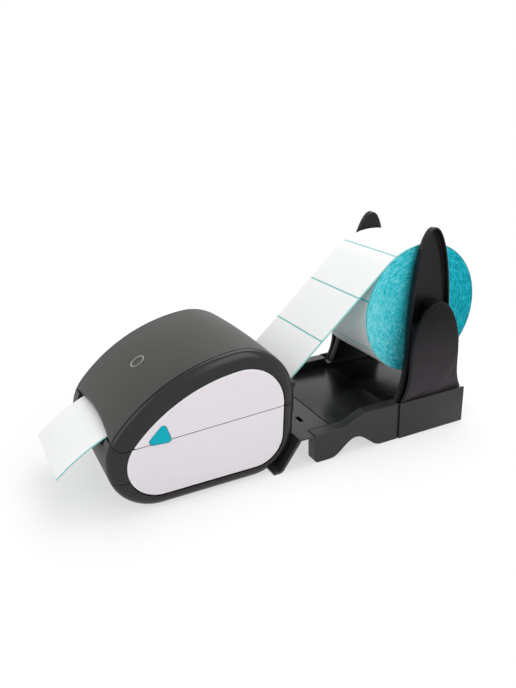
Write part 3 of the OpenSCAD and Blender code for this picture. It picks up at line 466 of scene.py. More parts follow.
class Weave(Wiring):
    """A material's node tree while it is being wired."""

    def __init__(self, name: str) -> None:
        """Starts an empty material with one principled shader.

        Args:
            name: The material's name.
        """
        self.material = bpy.data.materials.new(name)
        self.material.use_nodes = True
        super().__init__(self.material.node_tree)
        self.shader = self.tree.nodes["Principled BSDF"]
        self.place = self.add("ShaderNodeTexCoord").outputs["Object"]

    def noise(self, size: float, detail: float = 2.0, place: object = None, **more: object) -> Socket:
        """A noise texture.

        Args:
            size: Width of its features in millimetres.
            detail: Blender's detail, in octaves.
            place: Coordinates, in place of the object's own.
            **more: Other inputs of the noise.

        Returns:
            The noise's value, from 0 to 1.
        """
        where = self.place if place is None else place
        scale = 1.0 / (size * MM)
        node = self.add("ShaderNodeTexNoise", Vector=where, Scale=scale, Detail=detail, **more)
        return node.outputs["Fac"]

    def stretched(self, scale: Sequence[float]) -> Socket:
        """The object's coordinates, stretched by a factor along each axis."""
        return self.add("ShaderNodeMapping", Vector=self.place, Scale=tuple(scale)).outputs[0]

    def ramp(self, value: object, stops: Sequence[tuple[float, Colour]]) -> Socket:
        """A colour that a value picks between coloured stops.

        Args:
            value: The value, from 0 to 1.
            stops: Place and colour of each stop.

        Returns:
            The colour's socket.
        """
        node = self.add("ShaderNodeValToRGB", Fac=value)
        marks = node.color_ramp.elements
        while len(marks) < len(stops):
            marks.new(0.5)
        for mark, (at, colour) in zip(marks, stops):
            mark.position = at
            mark.color = (*colour, 1.0)
        return node.outputs["Color"]

    def span(
        self, value: object, low: float, high: float, start: float = 0.0, end: float = 1.0
    ) -> Socket:
        """A value stretched from one range to another, and held at its ends.

        Args:
            value: The value.
            low: The result at the start of the value's range.
            high: The result at its end.
            start: Start of the value's range.
            end: Its end.

        Returns:
            The stretched value's socket.
        """
        node = self.add("ShaderNodeMapRange", Value=value, From_Min=start, From_Max=end)
        self.wire(node.inputs["To Min"], low)
        self.wire(node.inputs["To Max"], high)
        return node.outputs[0]

    def blend(self, share: object, first: object, second: object) -> Socket:
        """A mix of two colours.

        Args:
            share: Share of the second colour, from 0 to 1.
            first: The first colour.
            second: The second colour.

        Returns:
            The mixed colour's socket.
        """
        node = self.add("ShaderNodeMix")
        node.data_type = "RGBA"
        colours = [socket for socket in node.inputs if socket.type == "RGBA"]
        for socket, value in zip((node.inputs["Factor"], *colours), (share, first, second)):
            self.wire(socket, value)
        return next(socket for socket in node.outputs if socket.type == "RGBA")

    def bump(self, height: object, depth: float, below: object = None) -> Socket:
        """A bumpy normal.

        Args:
            height: The height, from 0 to 1.
            depth: What a height of 1 stands for, in millimetres.
            below: A normal that is already bumpy.

        Returns:
            The normal's socket.
        """
        node = self.add("ShaderNodeBump", Height=height, Strength=1.0, Distance=depth * MM)
        if below is not None:
            self.wire(node.inputs["Normal"], below)
        return node.outputs[0]

    def axes(self) -> bpy.types.bpy_prop_collection:
        """The object's X, Y and Z coordinates, as outputs."""
        return self.add("ShaderNodeSeparateXYZ", Vector=self.place).outputs

    def dress(self, **inputs: object) -> Material:
        """Sets the shader's sockets.

        Args:
            **inputs: Values or output sockets, named with underscores for spaces.

        Returns:
            The finished material.
        """
        for key, value in inputs.items():
            self.wire(self.shader.inputs[key.replace("_", " ")], value)
        return self.material


@dataclass(frozen=True)
class Finish:
    """A surface finish that is made once and shared."""

    name: str

    def wire(self) -> Material:
        """Builds the material's nodes."""
        raise NotImplementedError

    @property
    def label(self) -> str:
        """The material's name, apart from the frame's own materials."""
        return f"{self.name}_finish"

    def material(self) -> Material:
        """The material, built on its first use."""
        return bpy.data.materials.get(self.label) or self.wire()


@dataclass(frozen=True)
class MouldedPlastic(Finish):
    """Spark-eroded moulded plastic: fine grain, faint flow marks and uneven gloss."""

    colour: Colour
    rough: float
    grain: float = 0.6
    depth: float = 0.008
    drift: float = 0.1
    coat: float = 0.0
    shine: float = 0.5
    cloud: float = 38.0
    uneven: float = 0.04

    def wire(self) -> Material:
        """Builds the plastic: cloudy colour, grain as bump, gloss that follows both.

        Returns:
            The material.
        """
        w = Weave(self.label)
        cloud = w.noise(self.cloud, 3.0, Roughness=0.55)
        grain = w.noise(self.grain, 4.0, Roughness=0.6)
        dark = tuple(c * (1 - self.drift) for c in self.colour)
        light = tuple(min(1.0, c * (1 + self.drift)) for c in self.colour)
        broad = w.span(cloud, self.rough - self.uneven, self.rough + self.uneven)
        colour = w.ramp(cloud, ((0.3, dark), (0.5, self.colour), (0.7, light)))
        return w.dress(
            Base_Color=self.tint(w, colour),
            Roughness=w.math("ADD", broad, w.span(grain, -self.uneven, self.uneven)),
            Normal=w.bump(grain, self.depth, w.bump(cloud, 0.02)),
            Coat_Weight=self.coat,
            Coat_Roughness=0.12,
            Specular_IOR_Level=self.shine,
        )

    def tint(self, w: Weave, colour: Socket) -> Socket:
        """The colour after any change with the place; plain plastic has none."""
        return colour


@dataclass(frozen=True)
class PaintedBounceFoot(MouldedPlastic):
    """Plastic with painted bounce light: it pales evenly down to its foot."""

    light_gain: float = 2.0
    heights: Pair = (50.0, 140.0)

    def tint(self, w: Weave, colour: Socket) -> Socket:
        """Paints bounce light: scales the colour by a light gain that falls to one from the lower height
        to the upper.

        Args:
            w: The material being wired.
            colour: The plain colour.

        Returns:
            The scaled colour.
        """
        low, high = self.heights
        scaled = w.add("ShaderNodeVectorMath", Vector=colour)
        scaled.operation = "SCALE"
        w.wire(scaled.inputs["Scale"], w.span(w.axes()["Z"], self.light_gain, 1.0, low * MM, high * MM))
        return scaled.outputs[0]


@dataclass(frozen=True)
class SeamShadePlastic(MouldedPlastic):
    """Plastic of the shells and rims, with painted shade: black inside the seam grooves."""

    seam_x: float = 73.0
    shade_w: float = 0.79

    def tint(self, w: Weave, colour: Socket) -> Socket:
        """Paints shade: turns the colour black wherever the surface lies inside a seam's groove."""
        x = w.math("ABSOLUTE", w.axes()["X"])
        return w.blend(w.math("COMPARE", x, self.seam_x * MM, self.shade_w * MM), colour, BLACK)


@dataclass(frozen=True)
class PaintedEdgeLight(MouldedPlastic):
    """Plastic of a side panel with a painted white highlight on its bevelled edge, and painted shade in
    the gaps round it.
    """

    face_x: float = 80.97
    edge_x: float = 80.1
    line: Pair = (78.1823, 0.039409)
    gap: float = 0.7
    shade: Colour = (0.06, 0.055, 0.06)

    def tint(self, w: Weave, colour: Socket) -> Socket:
        """Paints the bevel white as a highlight, and the gap and the parting line dark as shade, inside
        the panel's face, by the depth and the height over the parting line.

        The line's height is a start plus a slope times the place along the machine.

        Args:
            w: The material being wired.
            colour: The face's colour.

        Returns:
            The colour with the panel's edge.
        """
        axes = w.axes()
        start, slope = self.line
        height = w.math("MULTIPLY_ADD", axes["Y"], slope, start * MM)
        near = w.math("COMPARE", axes["Z"], height, self.gap * MM)
        x = w.math("ABSOLUTE", axes["X"])
        deep = w.math("MAXIMUM", near, w.math("LESS_THAN", x, self.edge_x * MM))
        # Painted highlight on the bevel, painted shade in the gap and along the parting line.
        edge = w.blend(deep, WHITE, self.shade)
        return w.blend(w.math("LESS_THAN", x, self.face_x * MM), colour, edge)


@dataclass(frozen=True)
class CoatedPaper(Finish):
    """Coated label or liner paper: fine fibres and a soft sheen."""

    colour: Colour
    fibre: Colour
    rough: float = 0.6

    def wire(self) -> Material:
        """Builds the paper: fibres stretched along the web over a faint mottle.

        Returns:
            The material.
        """
        w = Weave(self.label)
        fibre = w.noise(0.35, 4.0, w.stretched((1.0, 0.35, 0.35)), Roughness=0.7)
        mottle = w.noise(9.0, 3.0)
        mix = w.math("ADD", w.math("MULTIPLY", fibre, 0.7), w.math("MULTIPLY", mottle, 0.3))
        return w.dress(
            Base_Color=w.ramp(mix, ((0.3, self.fibre), (0.6, self.colour))),
            Roughness=w.span(fibre, self.rough - 0.06, self.rough + 0.08),
            Normal=w.bump(fibre, 0.01),
            Sheen_Weight=0.05,
        )


@dataclass(frozen=True)
class WoundEdge(Finish):
    """The side of a wound roll: thin layers of liner and label that run round its axis."""

    centre: Pair
    colours: tuple[Colour, Colour, Colour, Colour]
    layer: float = 0.95
    coarse: float = 3.2
    patch: float = 20.0
    wobble: float = 7.0
    wander: float = 0.0075
    arc: float = 0.011
    # Painted shade: how much darker the layers grow towards the back (greater Y).
    lean: float = 1.5

    def wire(self) -> Material:
        """Builds the layers: radius and angle from the axis drive stretched, wavy noise.

        Returns:
            The material.
        """
        w = Weave(self.label)
        axes = w.axes()
        y = w.math("SUBTRACT", axes["Y"], self.centre[0] * MM)
        z = w.math("SUBTRACT", axes["Z"], self.centre[1] * MM)
        radius = w.math("SQRT", w.math("ADD", w.math("MULTIPLY", y, y), w.math("MULTIPLY", z, z)))
        wobble = w.noise(self.wobble, 3.0, Roughness=0.6)
        patch = w.noise(self.patch, 3.0, Distortion=1.2)
        drift = w.math("MULTIPLY", w.math("SUBTRACT", wobble, 0.5), self.wander)
        bent = w.math("ADD", radius, drift)
        arc = w.math("MULTIPLY", w.math("ARCTAN2", z, y), self.arc)
        where = w.add("ShaderNodeCombineXYZ", X=bent, Y=arc, Z=axes["X"]).outputs[0]
        layers = w.noise(self.layer, 3.0, where, Roughness=0.65)
        coarse = w.noise(self.layer * self.coarse, 2.0, where)
        mix = w.math("ADD", w.math("MULTIPLY", layers, 0.7), w.math("MULTIPLY", coarse, 0.2))
        mix = w.math("ADD", mix, w.math("MULTIPLY", patch, 0.1))
        # Painted shade: the layers darken across the face towards the back (greater Y).
        mix = w.math("SUBTRACT", mix, w.math("MULTIPLY", y, self.lean))
        stops = zip((0.36, 0.45, 0.55, 0.66), self.colours)
        return w.dress(
            Base_Color=w.ramp(mix, tuple(stops)),
            Roughness=w.span(layers, 0.5, 0.75),
            Normal=w.bump(mix, 0.5),
            Specular_IOR_Level=0.1,
        )


@dataclass(frozen=True)
class Metal(Finish):
    """Drawn or rolled metal with fine lines along one axis."""

    colour: Colour
    rough: float = 0.32
    grain: Triple = (0.06, 1.0, 1.0)

    def wire(self) -> Material:
        """Builds the metal: stretched noise gives the lines in colour, gloss and bump.

        Returns:
            The material.
        """
        w = Weave(self.label)
        line = w.noise(0.4, 4.0, w.stretched(self.grain))
        dull = tuple(c * 0.8 for c in self.colour)
        return w.dress(
            Base_Color=w.ramp(line, ((0.3, dull), (0.65, self.colour))),
            Metallic=1.0,
            Roughness=w.span(line, self.rough - 0.08, self.rough + 0.1),
            Normal=w.bump(line, 0.006),
        )


@dataclass(frozen=True)
class Rubber(Finish):
    """Dull rubber with a chalky bloom."""

    colour: Colour

    def wire(self) -> Material:
        """Builds the rubber: a pale bloom over fine pits.

        Returns:
            The material.
        """
        w = Weave(self.label)
        bloom = w.noise(6.0, 4.0)
        pits = w.noise(0.25, 3.0)
        pale = tuple(c * 1.7 + 0.01 for c in self.colour)
        return w.dress(
            Base_Color=w.ramp(bloom, ((0.35, self.colour), (0.8, pale))),
            Roughness=w.span(pits, 0.7, 0.9),
            Normal=w.bump(pits, 0.02),
        )


@dataclass(frozen=True)
class CircuitBoard(Finish):
    """A lacquered circuit board with tracks under the lacquer."""

    ground: Colour
    track: Colour
    cell: float = 3.0

    def wire(self) -> Material:
        """Builds the board: square cells of noise read as tracks, with a clear coat.

        Returns:
            The material.
        """
        w = Weave(self.label)
        cells = w.add("ShaderNodeTexVoronoi", Vector=w.place, Scale=1.0 / (self.cell * MM))
        cells.distance = "MANHATTAN"
        turns = w.math("FRACT", w.math("MULTIPLY", cells.outputs["Distance"], 3.0))
        line = w.math("LESS_THAN", turns, 0.35)
        return w.dress(
            Base_Color=w.ramp(line, ((0.0, self.ground), (1.0, self.track))),
            Roughness=0.4,
            Normal=w.bump(line, 0.03),
            Coat_Weight=0.5,
            Coat_Roughness=0.15,
        )


@dataclass(frozen=True)
class Cardboard(Finish):
    """Spiral-wound grey-brown board."""

    colour: Colour

    def wire(self) -> Material:
        """Builds the board: fibres stretched round the spiral, in colour and bump.

        Returns:
            The material.
        """
        w = Weave(self.label)
        fibre = w.noise(0.6, 5.0, w.stretched((0.4, 1.0, 1.0)))
        dark = tuple(c * 0.72 for c in self.colour)
        return w.dress(
            Base_Color=w.ramp(fibre, ((0.3, dark), (0.7, self.colour))),
            Roughness=0.85,
            Normal=w.bump(fibre, 0.05),
        )


# The shell and rim plastics paint shade black inside the seam grooves.
COVER_GREY = SeamShadePlastic(
    "cover_grey", tone(50, 49, 46), rough=0.48, grain=0.55, depth=0.016, shine=0.36
)
RIM_GLOSS = SeamShadePlastic(
    "rim_gloss", tone(25, 21, 22), rough=0.27, grain=0.7, depth=0.006, coat=0.2, shine=0.3
)
# Pale panels with a painted highlight on their bevels and painted shade in the gaps round them.
PANEL_PALE = PaintedEdgeLight("panel_pale", tone(233, 226, 233), rough=0.42, depth=0.006, drift=0.012)
BUTTON_TEAL = MouldedPlastic(
    "button_teal", tone(0, 176, 194), rough=0.4, grain=0.5, depth=0.006, drift=0.04, shine=0.15
)
RING_GREY = MouldedPlastic(
    "ring_grey", tone(150, 150, 146), rough=0.3, grain=0.5, depth=0.004, drift=0.03, coat=0.2
)
STAND_DARK = MouldedPlastic("stand_dark", tone(33, 31, 33), rough=0.3, shine=0.42)
# The docking plate: a lighter, lit copy of the stand's plastic, as painted light.
DOCK_LIT = MouldedPlastic("dock_lit", tone(47, 45, 46), rough=0.3, shine=0.42)
# The ears: a darker, shaded copy of the stand's plastic, as painted shade.
EAR_SHADED = MouldedPlastic("ear_dark", tone(21, 19, 21), rough=0.36, shine=0.22)
# The fins: a darker, shaded copy of the stand's plastic, with painted bounce light paling towards the
# foot.
FIN_PAINTED_LIGHT = PaintedBounceFoot("fin_dark", tone(17, 15, 17), rough=0.36, shine=0.12, light_gain=7.5)
# Black of the hubs, made darker as painted shade; also the dark ledges and cups that stand for the shade
# under the docking plate.
HUB_SHADE_BLACK = MouldedPlastic("hub_shade_black", tone(9, 9, 9), rough=0.4, grain=0.5, depth=0.006, shine=0.2)
TRAY_BLACK = MouldedPlastic("tray_black", tone(15, 15, 15), rough=0.24, grain=0.5, depth=0.006, shine=0.3)
FRAME_GREY = MouldedPlastic("frame_grey", tone(78, 78, 79), rough=0.55, grain=0.5, depth=0.02)
PART_BLACK = MouldedPlastic("part_black", tone(28, 28, 28), rough=0.4, grain=0.4, depth=0.01)
GEAR_WHITE = MouldedPlastic("gear_white", tone(232, 228, 214), rough=0.4, grain=0.4, drift=0.03)
HEAD_GLAZE = MouldedPlastic(
    "head_glaze", tone(205, 200, 188), rough=0.2, grain=0.3, depth=0.004, drift=0.05, coat=0.6
)
LABEL_WHITE = CoatedPaper("label_white", tone(248, 249, 249), tone(242, 244, 244))
LINER_TEAL = CoatedPaper("liner_teal", tone(140, 208, 203), tone(112, 188, 186), rough=0.45)
STEEL = Metal("steel", tone(178, 180, 183))
BLACK_STEEL = Metal("black_steel", tone(58, 58, 60), rough=0.4)
SPRING_STEEL = Metal("spring_steel", tone(200, 201, 204), rough=0.22)
ALUMINIUM = Metal("aluminium", tone(192, 194, 197), rough=0.4)
BRASS = Metal("brass", tone(214, 172, 92), rough=0.28)
RUBBER_BLACK = Rubber("rubber_black", tone(28, 28, 28))
BOARD_GREEN = CircuitBoard("board_green", tone(24, 84, 52), tone(52, 122, 78))
CORE_BOARD = Cardboard("core_board", tone(176, 148, 110))

CAD_FINISHES: dict[Finish, tuple[str, ...]] = {
    FRAME_GREY: ("print_frame", "paper_guide_right", "paper_guide_left"),
    GEAR_WHITE: ("platen_bushes", "platen_gear", "idler_gear", "guide_pinion"),
    STEEL: ("drive_motor", "data_port", "base_screws", "platen_shaft", "tear_bar", "head_frame"),
    BOARD_GREEN: ("main_board", "button_board"),
    PART_BLACK: ("power_jack", "switch_housing", "gap_sensor", "hinge_brackets", "power_rocker"),
    RUBBER_BLACK: ("printer_feet", "platen_roller"),
    BRASS: ("motor_pinion",),
    BLACK_STEEL: ("hinge_pins",),
    HEAD_GLAZE: ("print_head",),
    ALUMINIUM: ("head_sink",),
    CORE_BOARD: ("roll_core",),
    HUB_SHADE_BLACK: ("hub_right", "hub_left"),
}


def settle(
    obj: Object, body: str, finish: Finish, nodes: Iterable[str] = ()
) -> Object:
    """Dresses a finished piece and hands it to the frame.

    Args:
        obj: The piece, in place.
        body: The body that it rides on.
        finish: The piece's finish.
        nodes: Frame nodes that the piece stands for.

    Returns:
        The same piece.
    """
    obj.data.materials.clear()
    obj.data.materials.append(finish.material())
    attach(obj, body)
    if nodes:
        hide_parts(*nodes)
    LOG.info("%s: %d faces on %s", obj.name, len(obj.data.polygons), body)
    return obj


def round_edges(obj: Object, width: float, angle: float = 35.0) -> Object:
    """Bevels the edges that are sharper than an angle.

    Args:
        obj: The piece.
        width: The bevel's width in millimetres.
        angle: The angle in degrees.

    Returns:
        The same piece.
    """
    bevel = obj.modifiers.new("edges", "BEVEL")
    bevel.width = width * MM
    bevel.segments = 3
    bevel.limit_method = "ANGLE"
    bevel.angle_limit = math.radians(angle)
    bevel.use_clamp_overlap = True
    return obj


@dataclass(frozen=True)
class SideView:
    """The printer's side view: nose, crown, back and heel arcs that meet in tangents, and a flat foot."""

    nose_y: float = -210.153
    body_l: float = 203.0
    body_h: float = 146.5
    foot_h: float = 1.0
    nose_r: float = 51.0
    back_r: float = 61.0
    heel_r: float = 49.5
    heel_set: float = 2.0
    crown_r: float = 185.0
    bulge: float = 3.0
    seam_h: float = 73.0
    side_h: float = 81.0
    rim_roll: float = 15.0
    panel_drop: float = 3.5
    panel_back: float = 2.0
    part_front: float = 69.9
    part_rise: float = 8.0
    part_ends: Pair = (-600.0, 800.0)
    ramp: Triple = (4.0, 9.0, 15.0)
    ramp_drop: float = 5.5
    slot_z: float = 80.6
    arc_points: int = 140
    under_points: int = 60
    arch_points: int = 200
    part_points: int = 60

    @property
    def rear_y(self) -> float:
        """The back's place."""
        return self.nose_y + self.body_l

    def loop(self) -> tuple[Array, Array]:
        """Points and outward normals round the side view, from the nose's foot over the top and back.

        Each arc is centre + radius * (cos a, sin a). The crown's centre lies where its circle
        touches both the nose's and the back's from outside.

        Returns:
            The points and the unit normals, both as (points, 2).
        """
        nose = np.array((self.nose_y + self.nose_r, self.foot_h + self.nose_r))
        back = np.array((self.rear_y - self.back_r, self.body_h - self.back_r))
        heel = np.array((self.rear_y - self.heel_set - self.heel_r, self.foot_h + self.heel_r))
        gap = back - nose
        span = float(np.linalg.norm(gap))
        to_nose, to_back = self.crown_r - self.nose_r, self.crown_r - self.back_r
        along = (to_nose**2 - to_back**2 + span**2) / (2 * span)
        down = math.sqrt(to_nose**2 - along**2)
        crown = nose + along * gap / span + down * np.array((gap[1], -gap[0])) / span
        nose_a = math.atan2(*(nose - crown)[::-1])
        back_a = math.atan2(*(back - crown)[::-1])
        drop = heel - back
        lead = math.acos((self.back_r - self.heel_r) / np.linalg.norm(drop))
        heel_a = math.atan2(drop[1], drop[0]) + lead
        arcs = (
            (nose, self.nose_r, 1.5 * math.pi, nose_a),
            (crown, self.crown_r, nose_a, back_a),
            (back, self.back_r, back_a, heel_a),
            (heel, self.heel_r, heel_a, -0.5 * math.pi),
        )
        points, normals = [], []
        for centre, radius, a0, a1 in arcs:
            a = np.linspace(a0, a1, self.arc_points)
            n = np.stack([np.cos(a), np.sin(a)], 1)
            points.append(centre + radius * n)
            normals.append(n)
        y = np.linspace(heel[0], nose[0], self.under_points)[1:-1]
        points.append(np.stack([y, np.full_like(y, self.foot_h)], 1))
        normals.append(np.tile((0.0, -1.0), (len(y), 1)))
        return np.concatenate(points), np.concatenate(normals)

    def rise(self, share: float) -> float:
        """Stretch in height of the middle, at a share of the way to the rim seams."""
        return 1 + self.bulge * (1 - share**2) / (self.body_h - self.foot_h)

    def middle(self, x: float, inset: float) -> Array:
        """The side view of the middle, stretched in height so that it crowns.

        Args:
            x: The place across the machine.
            inset: Distance that the view is drawn in.

        Returns:
            The (y, z) points.
        """
        points, normals = self.loop()
        q = points - inset * normals
        q[:, 1] = self.foot_h + (q[:, 1] - self.foot_h) * self.rise(x / self.seam_h)
        return q

    def rim(self, share: float, inset: float) -> Array:
        """The side view of a rim, which rolls in towards the panel, down and back.

        Args:
            share: Share of the rim's way from the seam to the panel.
            inset: Distance that the view is drawn in further.

        Returns:
            The (y, z) points.
        """
        points, normals = self.loop()
        q = points - (share * self.rim_roll + inset) * normals
        return q + share * np.array((self.panel_back, -self.panel_drop))

    def straight(self, y: Array) -> Array:
        """Height of the parting line's slow rise at each place."""
        return self.part_front + self.part_rise * (y - self.nose_y) / self.body_l

    def part_z(self, y: Array) -> Array:
        """Height of the parting line: level at the slot, a ramp behind the nose, then a slow rise.

        Args:
            y: Places along the machine.

        Returns:
            The height at each place.
        """
        start, end = self.part_ends
        marks = self.nose_y + np.array((start, *self.ramp, end))
        low = self.slot_z - self.ramp_drop
        heights = (self.slot_z, self.slot_z, low, *self.straight(marks[3:]))
        return np.interp(y, marks, heights)

    def split(self, q: Array, lift: float, upper: bool, count: int) -> Array:
        """The part of a side view above or below the parting line.

        Args:
            q: A full side view.
            lift: Distance that the line is moved up.
            upper: True for the part above the line, False for the part below it.
            count: How many points the result has.

        Returns:
            Evenly spaced points from the front to the back above the line, or back to front below it.
        """
        over = q[:, 1] - self.part_z(q[:, 0]) - lift
        first, last = np.nonzero(over > 0)[0][[0, -1]]
        i, j = np.array((first - 1, last)), np.array((first, last + 1))
        front, back = q[i] + (q[j] - q[i]) * over[i, None] / (over[i] - over[j])[:, None]
        if upper:
            return respace(np.vstack([front, q[first : last + 1], back]), count)
        return respace(np.vstack([back, q[last + 1 :], q[:first], front]), count)

    def along_part(self, start: float, end: float, lift: float) -> Array:
        """Points of the parting line, moved up by lift, between two places but without these."""
        y = np.linspace(start, end, self.part_points + 2)[1:-1]
        return np.stack([y, self.part_z(y) + lift], 1)

    def side_ring(self, x: float, share: float, inset: float, lift: float, upper: bool) -> Array:
        """One closed ring of a side piece: its arch and the parting line under or over it.

        Args:
            x: The place across the machine.
            share: Share of the rim's way from the seam to the panel.
            inset: Distance that the arch is drawn in further.
            lift: Distance that the parting line is moved up.
            upper: True for a ring of the cover, False for one of the base.

        Returns:
            The (x, y, z) points.
        """
        arch = self.split(self.rim(share, inset), lift, upper, self.arch_points)
        closing = self.along_part(arch[-1, 0], arch[0, 0], lift)
        return across(np.vstack([arch, closing]), np.array([x]))[0]


GROOVE = 0.8
SEAM_DEPTH = 1.6
WALL = 2.4
PANEL_T = 2.4
PANEL_GAP = 1.1
PANEL_PART = 0.5
PART_GAP = 0.8
BEZEL_SEAM_Z = 36.7
BEZEL_BACK = 15.0
BEZEL_END = 40.0
BEZEL_GAP = 0.6
SLOT_HALF = 57.0
PAPER_SHARP = 50.0
# A hair's width, by which two rings at the same place are kept apart.
HAIR = 0.02
# Room that a cutting tool leaves outside the piece that it cuts.
CLEAR = 60.0


@dataclass
class PrinterBody:
    """Shells, rims and panels of the printer, above and below its parting line."""

    view: SideView = field(default_factory=SideView)
    upper: bool = True
    columns: int = 41
    wall_points: int = 220
    roll_rings: int = 20
    # Place behind the face and inset of each ring of a panel's edge.
    bevel: tuple = ((-1.1, 0.0), (-0.85, 0.08), (-0.2, 0.8), (-0.06, 1.1), (0.0, 1.5))
    bevel_part: float = 0.1
    face_sharp: float = 20.0

    @property
    def lift(self) -> float:
        """How far the edge at the parting line is moved up."""
        return 0.0 if self.upper else -PART_GAP

    def band(self) -> Surface:
        """The middle's wall: an outer and an inner arch at each x, grooved at the rim seams.

        Returns:
            One closed wall.
        """
        v = self.view
        h = v.seam_h
        lip = h - GROOVE
        xs = np.concatenate([[-h, -lip - HAIR], np.linspace(-lip, lip, self.columns), [lip + HAIR, h]])
        rings = []
        for x in xs:
            insets = (SEAM_DEPTH if abs(x) > lip else 0.0, WALL)
            outer, inner = (
                v.split(v.middle(x, inset), self.lift, self.upper, self.wall_points) for inset in insets
            )
            rings.append(across(np.vstack([outer, inner[::-1]]), np.array([x]))[0])
        return carry(np.array(rings), Cap.BAND)

    def rim_solid(self, side: Side) -> Surface:
        """A side of the body: a quarter of an ellipse rolls in from the seam to the panel's recess.

        Args:
            side: The side of the machine.

        Returns:
            One closed solid.
        """
        v = self.view
        depth = v.side_h - v.seam_h
        groove = (v.seam_h, v.seam_h + GROOVE - HAIR)
        rings = [v.side_ring(x, 0.0, SEAM_DEPTH, self.lift, self.upper) for x in groove]
        for a in np.linspace(math.asin(GROOVE / depth), math.pi / 2, self.roll_rings):
            x = v.seam_h + depth * math.sin(a)
            rings.append(v.side_ring(x, 1 - math.cos(a), 0.0, self.lift, self.upper))
        return flip(carry(np.array(rings)), side)

    def recess_tool(self, side: Side) -> Object:
        """A tool that cuts the panel's recess into one side of the machine."""
        rings = across(self.view.rim(1.0, 0.0), self.view.side_h + np.array((-PANEL_T, CLEAR)))
        return make_object("recess_tool", [flip(carry(rings), side)])

    def panel_solid(self, side: Side) -> Surface:
        """A side panel with a bright chamfer round its face.

        Args:
            side: The side of the machine.

        Returns:
            One closed solid.
        """
        v = self.view
        sign = 1 if self.upper else -1
        lift = 0.0 if self.upper else -PANEL_PART
        rings = []
        for x, inset in ((-PANEL_T + HAIR, 0.0), *self.bevel):
            edge = lift + sign * min(inset, self.bevel_part)
            rings.append(v.side_ring(v.side_h + x, 1.0, PANEL_GAP + inset, edge, self.upper))
        return flip(carry(np.array(rings)), side)

    def bezel_tool(self, back: float, grow: float) -> Object:
        """A tool for the front bezel's room.

        Args:
            back: Length of the room behind the nose.
            grow: Distance that its seams are moved out.

        Returns:
            The tool.
        """
        v = self.view
        low = (-v.side_h - CLEAR, v.nose_y - CLEAR, BEZEL_SEAM_Z - grow)
        high = (v.side_h + CLEAR, v.nose_y + back + grow, v.slot_z + CLEAR)
        return box_tool(low, high)


@dataclass(frozen=True)
class LatchShape:
    """A release button's rounded triangle, as the hull of three discs in side view."""

    view: SideView = field(default_factory=SideView)
    # Middle of each disc: place behind the nose, and height.
    corners: tuple = ((57.0, 84.7), (46.0, 74.2), (60.5, 73.2))
    radius: float = 3.5
    inner_x: float = 72.5
    proud: float = 1.2
    flange: float = 2.2
    lip: float = 1.2
    # Depth under the button's top and growth of each ring of its face.
    crown: tuple = ((1.5, 0.0), (0.9, -0.15), (0.35, -0.6), (0.05, -1.4), (0.0, -1.9), (0.25, -2.8))
    hook_y: Pair = (52.0, 58.0)
    hook_z: Pair = (63.2, 79.2)
    seat_x: Pair = (60.0, 62.4)
    seat_y: Pair = (48.0, 70.0)
    seat_z: Pair = (77.7, 87.2)
    web_x: float = 74.0
    web_y: float = 66.0
    edge: float = 0.4
    hole_x: Pair = (60.0, 95.0)

    def outline(self, grow: float, count: int = 120) -> Array:
        """The hull's edge: for each direction, the disc that reaches furthest and its rim point.

        Args:
            grow: Distance by which the shape is grown.
            count: How many points the edge has.

        Returns:
            The (y, z) points.
        """
        a = np.linspace(0, 2 * math.pi, count, endpoint=False)
        n = np.stack([np.cos(a), np.sin(a)], 1)
        discs = np.array(self.corners) + (self.view.nose_y, 0.0)
        reach = discs[np.argmax(n @ discs.T, axis=1)]
        return reach + n * (self.radius + grow)

    def hole(self, grow: float, side: Side) -> Object:
        """A tool that cuts the button's opening, grown by a gap, on one side of the machine."""
        rings = across(self.outline(grow), np.array(self.hole_x))
        return make_object("latch_tool", [flip(carry(rings), side)])

    def button(self, side: Side) -> Object:
        """The button: straight walls, a wide rounded bevel, a slightly hollow face and a hook below.

        Args:
            side: The side of the machine.

        Returns:
            The button's object.
        """
        nose, top = self.view.nose_y, self.view.side_h + self.proud
        behind = self.inner_x - self.flange
        steps = ((behind, self.lip), (self.inner_x, self.lip), (self.inner_x, 0.0))
        steps += tuple((top - depth, grow) for depth, grow in self.crown)
        rings = np.array([across(self.outline(grow), np.array([x]))[0] for x, grow in steps])
        (y0, y1), (z0, z1) = self.hook_y, self.hook_z
        hook = slim_bar((behind, nose + y0, z0), (self.inner_x, nose + y1, z1), self.edge)
        return make_object(f"latch_{side.tag}_button", [flip(carry(rings), side), flip(hook, side)])

    def seat(self, side: Side) -> Object:
        """The seat of the button's spring inside the cover, on a web that joins it to the rim.

        Args:
            side: The side of the machine.

        Returns:
            The seat's object.
        """
        nose = self.view.nose_y
        (x0, x1), (y0, y1), (z0, z1) = self.seat_x, self.seat_y, self.seat_z
        plate = slim_bar((x0, nose + y0, z0), (x1, nose + y1, z1), self.edge)
        web = slim_bar((x0, nose + self.web_y, z0), (self.web_x, nose + y1, z1), self.edge)
        return make_object(f"latch_{side.tag}_seat", [flip(plate, side), flip(web, side)])


